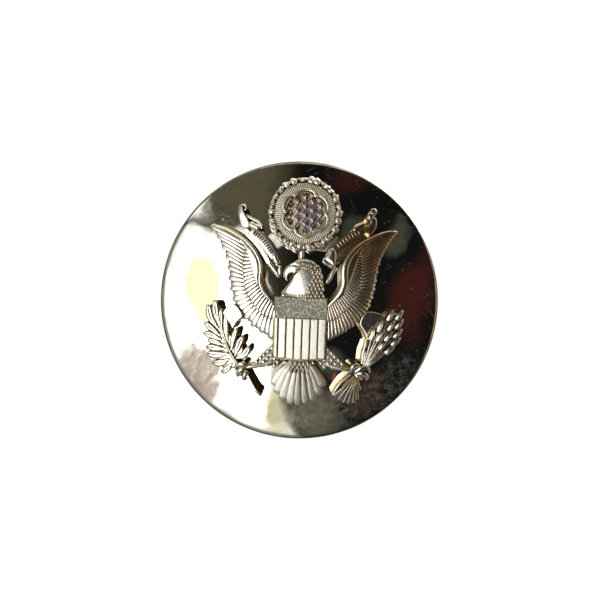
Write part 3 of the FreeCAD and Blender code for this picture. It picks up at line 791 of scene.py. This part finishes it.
LEG = [(3.6, -6.8), (5.0, -7.7), (6.2, -9.0), (7.2, -10.1), (8.7, -10.7), (8.6, -11.4), (7.2, -11.2),
       (5.4, -10.9), (4.0, -10.5), (2.6, -9.6), (2.8, -7.8)]
LEFT_TOES = [
    [(-8.3, -11.0), (-9.2, -10.6), (-10.0, -10.9), (-10.3, -11.7)],
    [(-8.4, -11.4), (-9.3, -11.5), (-9.9, -12.1), (-9.8, -12.8)],
    [(-8.2, -11.7), (-8.7, -12.3), (-8.9, -13.0), (-8.4, -13.1)],
    [(-9.0, -11.2), (-9.6, -11.8), (-9.2, -12.6)],
]
RIGHT_TOES = [
    [(8.3, -11.2), (8.7, -10.4), (9.4, -10.2), (10.0, -10.7)],
    [(9.0, -11.3), (10.2, -10.6), (11.1, -10.7), (11.3, -11.5)],
    [(9.2, -11.6), (10.3, -11.5), (11.0, -12.0), (10.8, -12.6)],
    [(9.0, -11.5), (9.6, -12.1), (10.3, -12.5)],
]


def leg(piece, side, toes):
    """A feathered thigh, a plain shank and a foot whose toes close round what it holds."""
    patch(piece, sided(side, LEG), 1.5, 0.35, 0.3)
    for row in range(6):
        for k in range(6):
            along = row / 5
            u = 3.6 + 3.0 * along - 0.55 * k + jitter(0.06)
            v = -7.0 - 2.8 * along - 0.55 * k
            if k > 5.2 - row * 0.72 or v < -10.4:
                continue
            tuft = sided(side, [(u, v), (u + 0.55, v - 0.62)])
            blade(piece, tuft, [0.17, 0.27, 0.23], [1.62, 1.74, 1.66], crown=0.17 + 0.07 * side, base=0.6,
                  steps=4)
    shank = sided(side, [(4.6, -10.2), (6.6, -10.75), (8.8, -11.1)])
    blade(piece, shank, [0.42, 0.36, 0.36], [1.75, 1.8, 1.85], crown=0.4)
    for toe in toes:
        blade(piece, toe, [0.36, 0.42, 0.36, 0.2], [1.85, 2.15, 2.05, 1.7], crown=0.45, steps=10,
              tip_drop=0.3)
    piece.stand_off(0.6, beyond=8.0, over=5.0)


LEAVES = [
    ((-10.2, -9.7), (-8.9, -9.1), (-8.1, -7.7), 0.44),
    ((-10.4, -9.3), (-9.9, -7.7), (-9.2, -6.1), 0.44),
    ((-11.0, -8.4), (-10.8, -6.8), (-10.2, -4.8), 0.34),
    ((-11.7, -7.2), (-12.0, -5.0), (-12.1, -2.7), 0.36),
    ((-12.7, -5.6), (-12.9, -3.4), (-12.9, -1.8), 0.34),
    ((-13.0, -4.6), (-13.7, -2.4), (-13.9, -0.4), 0.44),
    ((-13.3, -5.0), (-14.6, -3.2), (-15.0, -1.2), 0.44),
    ((-12.9, -6.2), (-14.4, -5.0), (-15.5, -4.1), 0.40),
    ((-12.7, -6.8), (-14.2, -6.2), (-15.7, -5.8), 0.40),
    ((-12.3, -7.7), (-13.7, -7.2), (-15.0, -6.9), 0.38),
    ((-12.1, -8.3), (-13.6, -8.2), (-15.2, -8.0), 0.42),
    ((-11.6, -9.0), (-13.2, -9.3), (-15.0, -9.1), 0.46),
    ((-11.3, -9.9), (-12.7, -10.6), (-14.0, -10.6), 0.44),
    ((-10.9, -10.6), (-11.7, -11.6), (-12.6, -12.1), 0.42),
]
BRANCH_BODY = [(-13.6, -1.2), (-12.4, -2.6), (-12.2, -5.0), (-10.8, -6.2), (-9.6, -7.0), (-9.0, -8.4),
               (-9.9, -10.2), (-10.4, -11.3), (-12.2, -11.4), (-13.2, -10.2), (-14.3, -8.9), (-14.5, -6.6),
               (-14.6, -4.4), (-14.4, -2.4)]


def branch(piece):
    """A leafy twig: round-ended leaves with a midrib on both sides of a stem, joined by a web of metal."""
    patch(piece, BRANCH_BODY, 1.25, 0.45, 0.25)
    blade(piece, [(-9.3, -11.4), (-10.6, -9.7), (-11.6, -8.0), (-12.3, -6.0), (-13.1, -3.4)],
          [0.3, 0.26, 0.22, 0.16], [1.8, 1.8, 1.8, 1.7], steps=16)
    for i, (root, middle, tip, half) in enumerate(LEAVES):
        crest = 1.72 + 0.14 * (i % 3)
        blade(piece, [root, middle, tip], [0.16, half * 1.1, half * 1.35, half * 0.75],
              [crest - 0.1, crest, crest, crest - 0.1], crown=0.2, steps=14, crease=0.08, tip_drop=0.2,
              outline=1.4)
    blade(piece, [(-8.6, -12.0), (-7.6, -13.7), (-6.6, -15.1), (-5.9, -15.6)], [0.3, 0.27, 0.26, 0.28],
          [1.6, 1.7, 1.7, 1.5], crown=0.07, steps=10, outline=2.4)
    patch(piece, [(-12.6, -2.4), (-10.8, -1.0), (-9.3, -2.8), (-10.2, -3.9), (-10.9, -5.0), (-11.4, -4.2)],
          1.6, 0.3, 0.2)
    piece.stand_off(0.6)


ARROWS = [(14.9, -0.9), (16.5, -0.9), (16.6, -2.4), (16.5, -4.0), (16.3, -5.4), (15.4, -6.8), (15.2, -2.6),
          (14.9, -4.4), (14.0, -5.8), (13.2, -2.7), (13.2, -4.3), (11.8, -4.0)]
SHEAF_HOLD = (10.2, -11.0)
ARROW_HEAD = 2.1


def arrow_sheaf(piece):
    """A bundle of arrows held at the middle: plain leaf-shaped heads above and cut feathers below."""
    behind = [(10.1, -10.5), (10.1, -8.0), (10.7, -5.6), (11.8, -4.2), (13.6, -2.6), (15.4, -1.6),
              (15.6, -4.4), (14.4, -6.6), (12.8, -8.4), (11.2, -10.6)]
    patch(piece, behind, 1.0, 0.4, 0.3)
    hold = np.array(SHEAF_HOLD)
    for i, tip in enumerate(ARROWS):
        tip = np.array(tip)
        way = (tip - hold) / np.linalg.norm(tip - hold)
        neck = tip - way * ARROW_HEAD
        crest = 1.65 + 0.045 * i
        blade(piece, [hold + way * 0.6, neck + way * 0.2], [0.12, 0.15, 0.14],
              [1.75, crest - 0.1, crest - 0.1], crown=0.2, base=0.5)
        blade(piece, [neck, tip], [0.46, 0.42, 0.3, 0.14], [crest, crest + 0.16, crest + 0.12, crest - 0.1],
              crown=0.34, base=0.2, end="point", crease=0.12, steps=6, lean=0.12)
    for i in range(6):
        way = np.array((math.sin(0.12 + i * 0.15), math.cos(0.12 + i * 0.15)))
        blade(piece, [hold + way * 0.5, hold + way * (3.3 + 0.5 * (i % 2))], [0.14, 0.22, 0.2],
              [1.75, 1.9, 1.75], crown=0.25, base=0.4)
    blade(piece, [(10.1, -9.9), (10.25, -8.2), (10.8, -6.2)], [0.26, 0.27, 0.24], [1.7, 1.75, 1.6], crown=0.2)
    web = [(10.4, -1.6), (12.6, -1.7), (13.6, -2.6), (12.4, -4.4), (11.0, -6.6), (10.3, -5.0), (9.4, -3.4)]
    # the web between the arrows is darkened: tarnish with painted shade
    patch(piece, web, 1.25, 0.35, 0.25, patina_and_shade=0.85)
    butts = [(9.8, -14.2), (9.45, -15.7), (8.9, -16.3), (8.15, -16.4), (7.35, -16.3), (6.5, -15.85),
             (5.7, -15.3)]
    for i, (u, v) in enumerate(butts):
        blade(piece, [(9.5 - 0.12 * i, -11.9), ((u + 9.1) / 2, (v - 12.2) / 2), (u, v)],
              [0.12, 0.26, 0.36, 0.34], [1.8, 1.75 + 0.04 * i, 1.7], crown=0.24, steps=10, end="flat",
              crease=-0.04, lean=-0.1)
    blade(piece, [(8.3, -11.7), (6.8, -13.1), (5.45, -15.1)], [0.14, 0.16, 0.14], [1.5, 1.6, 1.5], crown=0.15)
    piece.stand_off(0.5)


TICK_HALF = 0.4


def tick(piece, band, t, crest, patina_and_shade):
    """One short plain tick across a band."""
    a, b = curve(band, [t, t + 0.02])
    way = (b - a) / np.linalg.norm(b - a)
    side = np.array((way[1], -way[0])) * TICK_HALF
    blade(piece, [a - side, a + side], [0.12], [crest], crown=0.14, base=1.0, steps=3, start="round",
          patina_and_shade=patina_and_shade)


def ribbon(piece):
    """A plain folded ribbon behind the head, its face crossed by even ticks, without any lettering."""
    left = [(-8.45, 10.9), (-6.5, 9.4), (-5.1, 7.6), (-4.3, 6.4)]
    blade(piece, left, [0.82, 0.85, 0.8, 0.6], [1.6, 1.72, 1.75, 1.6], crown=0.07, steps=24)
    for t in np.linspace(0.1, 0.78, 11):
        tick(piece, left, t, 1.84, 3.0)
    blade(piece, [(-9.2, 10.25), (-7.7, 8.9), (-6.2, 7.0), (-5.3, 5.5)], [0.36, 0.46, 0.48, 0.42],
          [1.4, 1.5, 1.55, 1.5], crown=0.08, steps=20, lean=-0.06)
    blade(piece, [(-4.6, 6.9), (-4.2, 6.1), (-3.6, 5.7)], [0.5, 0.45, 0.3], [1.8, 1.7, 1.5])
    blade(piece, [(-5.35, 5.7), (-4.6, 4.75), (-3.7, 3.75)], [0.34, 0.42, 0.3], [1.7, 1.8, 1.6])
    blade(piece, [(-3.6, 5.4), (-3.7, 4.6), (-3.6, 3.8)], [0.3, 0.34, 0.24], [1.75, 1.8, 1.6])
    blade(piece, [(-9.5, 13.4), (-8.2, 12.75), (-7.0, 12.1), (-6.8, 11.2)], [0.2, 0.22], [1.3, 1.4],
          crown=0.1)
    blade(piece, [(-10.35, 15.0), (-10.2, 13.7), (-9.75, 12.6), (-9.1, 11.4)], [0.28, 0.5, 0.7, 0.7],
          [1.6, 1.65, 1.6, 1.5], crown=0.1, steps=14, lean=-0.08)
    blade(piece, [(-10.3, 14.9), (-9.8, 15.05), (-9.45, 14.6), (-9.7, 14.1)], [0.18], [1.9, 1.8], crown=0.2,
          steps=12)
    blade(piece, [(-9.0, 12.1), (-8.2, 11.7), (-7.2, 11.2)], [0.44, 0.42], [2.05], crown=0.4, start="round",
          steps=8)
    upper = [(4.85, 8.2), (6.5, 9.7), (8.2, 10.9), (9.9, 11.8)]
    # the right-hand ribbon is darkened on its face: painted shade
    blade(piece, upper, [0.66, 0.7], [1.65, 1.7], crown=0.07, steps=20, patina_and_shade=1.2)
    for t in np.linspace(0.16, 0.8, 8):
        tick(piece, upper, t, 1.9, 0.0)
    # its lower band is darkened too: painted shade
    blade(piece, [(5.4, 6.9), (7.0, 8.3), (8.7, 9.6), (10.2, 10.6)], [0.75, 0.8], [1.45, 1.5], crown=0.08,
          steps=16, lean=0.08, patina_and_shade=1.0)
    fold = [(3.3, 6.6), (3.7, 7.6), (4.3, 8.6), (5.0, 8.5), (5.5, 7.6), (5.5, 6.4), (5.2, 5.4), (4.2, 5.9)]
    patch(piece, fold, 1.95, 0.2, 0.7)
    blade(piece, [(5.4, 5.4), (4.8, 4.5), (4.4, 3.5), (3.7, 2.8)], [0.34, 0.32, 0.36], [1.6, 1.6, 1.5])
    blade(piece, [(7.9, 11.5), (8.9, 12.1), (10.0, 12.6)], [0.6], [2.2, 2.15], crown=0.5, start="round",
          steps=8)
    blade(piece, [(10.4, 11.4), (11.1, 12.4), (11.2, 13.8)], [0.7, 0.62, 0.5], [1.5, 1.6], crown=0.2)
    blade(piece, [(10.45, 13.3), (10.75, 14.0), (11.1, 14.7)], [0.56, 0.62, 0.6], [2.1, 2.2], crown=0.5,
          start="round", steps=8)
    turn = np.linspace(0, 2 * math.pi, 12)[:-1]
    eye = [(11.15 + 0.42 * math.cos(a), 14.65 + 0.42 * math.sin(a)) for a in turn]
    blade(piece, eye, [0.14], [2.25], crown=0.2, base=1.0, steps=24, closed=True)


GLORY_SLOPE = 0.12
RAYS = 84
POINTS_PER_RAY = 8


def glory_rays(piece):
    """The ring of fine rays, as one ridged annulus."""
    count = RAYS * POINTS_PER_RAY
    a = np.linspace(0, 2 * math.pi, count, endpoint=False)[:, None]
    r = np.array([3.2, 3.8, 4.1, 4.5, 4.85, 5.0])[None, :]
    fade = np.array([0.3, 0.8, 1, 1, 0.9, 0.4])[None, :]
    ridge = (0.5 + 0.5 * np.cos(RAYS * a)) * fade
    h = 1.95 - 0.08 * (1 - ridge) ** 2 - 0.2 * (r - 3.6)
    u = GLORY[0] + r * np.cos(a)
    v = GLORY[1] + r * np.sin(a)
    top = lift(u, v, h).reshape(-1, 3)
    foot = lift(u[:, [0, -1]], v[:, [0, -1]], 0.0).reshape(-1, 3)
    # the valleys between rays and the feet are darkened: tarnish with painted shade
    groove = np.concatenate([((1 - ridge) ** 4).ravel() * 2.0, np.ones(len(foot))])
    piece.add(np.concatenate([top, foot]), strip_faces(count, r.shape[1], True), groove)
    piece.stand_off(0, slope=GLORY_SLOPE)


PUFFS = 26
HOOK_SHAPE = [(-0.75, -3), (-0.1, -7), (0.15, 1), (-0.35, 5)]
HOOKS = [(203, 5.7), (216, 5.6), (230, 5.65), (244, 5.75), (258, 5.85), (283, 5.9), (300, 5.8), (318, 5.6)]


def glory_clouds(piece):
    """The ring of puffs round the rays, and the short stalk that joins it to the head."""
    # a low ring inside the puffs and a ring under them, darkened: tarnish with painted shade
    blade(piece, circle(5.2), [0.45], [0.9], crown=0.2, steps=96, closed=True, patina_and_shade=3.0)
    blade(piece, circle(5.62), [0.26], [1.35], steps=120, closed=True, patina_and_shade=1.0)
    for i in range(PUFFS):
        d = i * 360 / PUFFS + jitter(2.5)
        half = rng.uniform(0.6, 0.82)
        crest = rng.uniform(2.0, 2.3)
        reach = rng.uniform(5.6, 5.84)
        turn = rng.uniform(-5, 8)
        puff = [around(reach, d - turn), around(5.45, d), around(5.12, d + turn)]
        blade(piece, puff, [half * 0.8, half, 0.3], [crest - 0.2, crest, crest - 0.06], crown=0.45,
              start="round", steps=6)
        if i % 3 != 1:
            small = [around(5.72, d + 6), around(5.3, d + 8)]
            blade(piece, small, [0.32, 0.24], [2.1, 2.15], crown=0.35, start="round", steps=4)
    for d, r in HOOKS:
        hook = [around(r + out, d + turn) for out, turn in HOOK_SHAPE]
        blade(piece, hook, [0.2, 0.26, 0.2], [1.95, 2.1, 2.0], base=0.3, start="round", steps=10)
    blade(piece, [(0.05, 8.9), (0.1, 8.1)], [0.34, 0.36], [1.9], crown=0.35, start="round", steps=4)
    blade(piece, [(-0.2, 7.8), (-0.25, 6.4)], [0.42, 0.5], [1.7, 1.8], crown=0.4, steps=5)
    patch(piece, [(0.3, 9.0), (1.6, 8.2), (4.0, 8.1), (5.6, 10.2), (4.4, 10.6), (2.6, 9.4)], 1.0)
    patch(piece, [(-4.6, 7.9), (-3.4, 8.5), (-2.4, 9.4), (-4.4, 10.8), (-5.9, 10.0)], 1.1)
    piece.stand_off(0, slope=GLORY_SLOPE)


def glory_rim(piece):
    """The raised six-lobed rim round the sunk field."""
    outline = []
    for i in range(48):
        d = i * 7.5
        outline.append(around(3.2 + 0.66 * abs(math.cos(math.radians(3 * (d - 30)))) ** 0.6, d))
    blade(piece, outline, [0.26], [2.35], crown=0.34, base=0.3, steps=192, closed=True)
    piece.stand_off(0, slope=GLORY_SLOPE)


BOSS_PITCH = 1.42
BOSS_RINGS = [(1.0, 1.05, 1.0), (0.9, 1.35, 0.5), (0.55, 1.75, 0.0), (0.16, 2.1, 0.0)]


def boss(piece, u, v, half_u, half_v):
    """A boss cut like a blunt diamond; its rings are given as share of width, height and darkening, which
    keeps the toning low and the painted highlight on top.
    """
    corners = 16
    points = []
    for grow, h, _ in BOSS_RINGS:
        for i in range(corners):
            a = 2 * math.pi * i / corners
            reach = grow / (abs(math.cos(a)) + abs(math.sin(a))) ** 0.6
            points.append(lift(u + half_u * reach * math.cos(a), v + half_v * reach * math.sin(a), h))
    faces = quads(len(BOSS_RINGS), corners, closed_columns=True) + caps(len(BOSS_RINGS), corners)
    piece.add(points, faces, np.repeat([dirt_and_shade for _, _, dirt_and_shade in BOSS_RINGS], corners))


def glory_field(piece):
    """The sunk field with cut bosses packed in a hexagon."""
    patch(piece, circle(3.5), 1.1, 0.3, 0.1)
    for row in range(-2, 3):
        for k in range(5 - abs(row)):
            u = GLORY[0] + row * BOSS_PITCH * 0.866
            v = GLORY[1] + (k - (4 - abs(row)) / 2) * BOSS_PITCH
            boss(piece, u, v, 0.56, 0.68)
    piece.stand_off(0, slope=GLORY_SLOPE)


# ---- the studio ----
# Places in the room are given, in millimetres, as the place on the dome that mirrors them to someone square
# in front of it.
MIRRORED_MM = 28.2
SWAY_MM = 7
ROOM_SPOTS = [
    ((8.5, 12.0, 2.6, 3.6), (0.034, 0.043, 0.033)), ((14.8, 10.0, 2.0, 4.4, 20), (0.055, 0.055, 0.042)),
    ((18.0, 1.5, 4.2, 9.0, 12), (0.046, 0.012, 0.010)), ((8.0, 19.6, 5.0, 2.6), (0.026, 0.010, 0.008)),
    ((11.5, -14.5, 3.0, 4.6, 30), (0.030, 0.020, 0.012)), ((2.5, -17.5, 6.5, 6.0), (0.10, 0.097, 0.065)),
    ((5.5, -9.5, 2.6, 3.4), (0.055, 0.062, 0.048)), ((3.6, -10.6, 1.0, 1.3, 30), (0.10, 0.15, 0.02)),
    ((5.4, -12.6, 0.8, 1.3), (0.28, 0.10, 0.05)),
]
FLOOR_RADIUS = 2.4
FLOOR_Z = -0.9
FLOOR_CORNERS = 48


def soft_light(name, place, size, power):
    """A round lamp that faces the badge."""
    data = bpy.data.lights.new(name, "AREA")
    data.shape = "DISK"
    data.size = size
    data.energy = power
    light = bpy.data.objects.new(name, data)
    bpy.context.scene.collection.objects.link(light)
    light.location = place
    light.rotation_euler = (Vector() - Vector(place)).to_track_quat("-Z", "Y").to_euler()
    return light


def floor():
    """A wide pale floor well below the badge."""
    mesh = bpy.data.meshes.new("floor")
    angles = [2 * math.pi * i / FLOOR_CORNERS for i in range(FLOOR_CORNERS)]
    ring = [(FLOOR_RADIUS * math.cos(a), FLOOR_RADIUS * math.sin(a), FLOOR_Z) for a in angles]
    mesh.from_pydata(ring, [], [list(range(FLOOR_CORNERS))])
    material = bpy.data.materials.new("pale floor")
    material.use_nodes = True
    inputs = material.node_tree.nodes["Principled BSDF"].inputs
    inputs["Base Color"].default_value = (0.90, 0.90, 0.88, 1)
    inputs["Roughness"].default_value = 0.7
    mesh.materials.append(material)
    obj = bpy.data.objects.new("floor", mesh)
    bpy.context.scene.collection.objects.link(obj)
    obj.visible_glossy = False


def dark_room(sh, x, z):
    """The dark side's near-black, with brown, green and red shapes."""
    room = sh.mix(sh.ramp(x, 0, -9), (0.006, 0.007, 0.007), (0.075, 0.068, 0.045))
    above = sh.mix(sh.ramp(x, -1, -7), (0.005, 0.005, 0.005), (0.11, 0.10, 0.062))
    room = sh.mix(sh.ramp(z, 6, 16, 0, 0.5), room, above)
    for place, colour in ROOM_SPOTS:
        room = sh.mix(sh.spot(*place), room, colour)
    return room


def bright_card(sh, side, z, out):
    """The panel's tones: hottest in the middle, cream in two places and smeared at the lower left."""
    hot = sh.ramp(side, -6.0, -8.5) * sh.ramp(z, 10.5, 8.5) * sh.ramp(out, 21.0, 19.0)
    card = sh.mix(hot, (1.05, 1.05, 1.0), (4.4, 4.4, 4.3))
    card = sh.mix(sh.ramp(sh.spot(-15.8, 0.8, 4.3, 9.0, -6), 0.02, 0.8), card, (1.25, 1.16, 0.78))
    card = sh.mix(sh.spot(-2.8, -17.8, 4.8, 5.8), card, (0.62, 0.59, 0.40))
    streaks = sh.noise(0.5, 5, 0.62, WIPED)
    smear = sh.mix(sh.ramp(streaks, 0.45, 0.62), (0.50, 0.43, 0.37), (0.80, 0.73, 0.64))
    band = sh.spot(-15.0, -11.3, 3.0, 6.8, -34) * sh.ramp(streaks, 0.72, 0.58, 0.4, 1.0)
    return sh.mix(sh.ramp(band, 0.1, 0.6), card, smear)


def studio():
    """A bright panel to the left and a dark room to the right, as the metal reflects them; pale behind."""
    world = bpy.data.worlds.new("studio")
    world.use_nodes = True
    bpy.context.scene.world = world
    sh = Nodes(world.node_tree)
    toward = sh.add("ShaderNodeTexCoord", output="Generated")
    straight = sh.vector("MULTIPLY", toward, (MIRRORED_MM,) * 3)
    wave = sh.add("ShaderNodeTexNoise", {"Vector": straight, "Scale": 0.11, "Detail": 4.0}, "Color")
    sway = sh.vector("SUBTRACT", wave, (0.5,) * 3)
    sh.mm = sh.vector("MULTIPLY_ADD", sway, (SWAY_MM,) * 3, straight)
    x, _, z = sh.axes(sh.mm)
    plain_x, plain_y, plain_z = sh.axes(straight)
    out = sh.from_axis(straight)
    side = x + z * 0.25
    panel = sh.ramp(side, -4.4, -6.4) * sh.ramp(z, 12.0, 10.5) * sh.ramp(out, 22.0, 20.4, 0.22, 1)
    panel = sh.math("MAXIMUM", panel, sh.spot(-17.4, 14.6, 4.4, 2.8, 30))
    front = sh.mix(panel, dark_room(sh, x, z), bright_card(sh, side, z, out))
    front = sh.mix(sh.ramp(plain_x, 21.5, 25.5), front, (0.50, 0.34, 0.18))
    front = sh.mix(sh.ramp(plain_z, 21.5, 26.5), front, (0.80, 0.68, 0.46))
    back = sh.mix(sh.ramp(plain_z, -9, 24), (0.28, 0.27, 0.25), (0.95, 0.95, 0.93))
    seen = sh.mix(sh.ramp(plain_y, -4, 6), front, back)
    direct = sh.add("ShaderNodeLightPath", output="Is Camera Ray")
    sh.put(sh.tree.nodes["Background"].inputs["Color"], sh.mix(direct, seen, (1.0, 1.0, 1.0)))


def camera():
    """Square on to the face, rolled so that the badge stands two degrees clockwise."""
    data = bpy.data.cameras.new("camera")
    data.lens = 85
    data.sensor_width = 36
    data.clip_start = 0.005
    obj = bpy.data.objects.new("camera", data)
    obj.location = (0.0001, -0.2279, 0.0)
    obj.rotation_euler = (math.radians(90), math.radians(-2), 0)
    bpy.context.scene.collection.objects.link(obj)
    bpy.context.scene.camera = obj


def fixings():
    """Metals for the fixings that keep their CAD shapes, and the threaded post in place of the plain one."""
    brass = fixing_metal("worn brass", (0.80, 0.64, 0.36), (0.60, 0.45, 0.23), (0.12, 0.07, 0.03), 0.32)
    turned = fixing_metal("turned brass", (0.84, 0.69, 0.40), (0.66, 0.51, 0.27), (0.14, 0.08, 0.04), 0.26,
                          turned=0.006)
    thread = fixing_metal("threaded brass", (0.82, 0.67, 0.38), (0.62, 0.47, 0.24), (0.10, 0.06, 0.03), 0.28)
    drawn = fixing_metal("drawn brass", (0.84, 0.71, 0.44), (0.70, 0.56, 0.32), (0.15, 0.09, 0.04), 0.24)
    solder = fixing_metal("soft solder", (0.62, 0.62, 0.60), (0.42, 0.42, 0.40), (0.16, 0.14, 0.11), 0.42)
    carried = {
        brass: ("upper_emblem_stud", "lower_emblem_stud", "post_seat_washer"),
        turned: ("upper_stud_washer", "lower_stud_washer", "clamp_nut", "backing_washer", "thumb_nut"),
        drawn: ("left_locating_pin", "right_locating_pin"),
        solder: ("left_pin_solder", "right_pin_solder"),
    }
    for material, nodes in carried.items():
        for node in nodes:
            for slot in bpy.data.objects[node].material_slots:
                slot.material = material
    threaded_post(thread)


def emblem():
    """The struck eagle, one piece after another."""
    gilt = struck_gilt("struck gilt")
    satin = struck_gilt("satin gilt", satin=0.36, hammer=0.06)
    chief = struck_gilt("stippled gilt", stipple=0.07, metal=0.92)
    rayed = struck_gilt("rayed gilt", satin=0.5, metal=0.5)
    puffed = struck_gilt("puffed gilt", metal=0.85)
    shapes = [
        ("emblem_left_wing", gilt, wing, -1, 25, 22),
        ("emblem_right_wing", gilt, wing, 1, 31, 28),
        ("emblem_head", gilt, head),
        ("emblem_shield_bars", satin, shield_bars),
        ("emblem_shield_chief", chief, shield_chief),
        ("emblem_tail", satin, tail),
        ("emblem_left_leg", gilt, leg, -1, LEFT_TOES),
        ("emblem_right_leg", gilt, leg, 1, RIGHT_TOES),
        ("emblem_branch", gilt, branch),
        ("emblem_arrow_sheaf", gilt, arrow_sheaf),
        ("emblem_ribbon", gilt, ribbon),
        ("emblem_glory_rays", rayed, glory_rays),
        ("emblem_glory_clouds", puffed, glory_clouds),
        ("emblem_glory_rim", gilt, glory_rim),
        ("emblem_glory_field", toned_field(), glory_field),
    ]
    for name, material, shape, *sizes in shapes:
        piece = Piece()
        shape(piece, *sizes)
        piece.build(name, material, "eagle_emblem")


def main():
    disc(mirror_brass())
    fixings()
    emblem()
    floor()
    studio()
    soft_light("back fill", (0.35, 0.6, 0.4), 0.5, 6.0)
    soft_light("overhead", (0.0, 0.1, 0.9), 1.0, 9.0).visible_glossy = False
    camera()
    bpy.context.scene.view_settings.view_transform = "Standard"
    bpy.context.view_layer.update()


main()
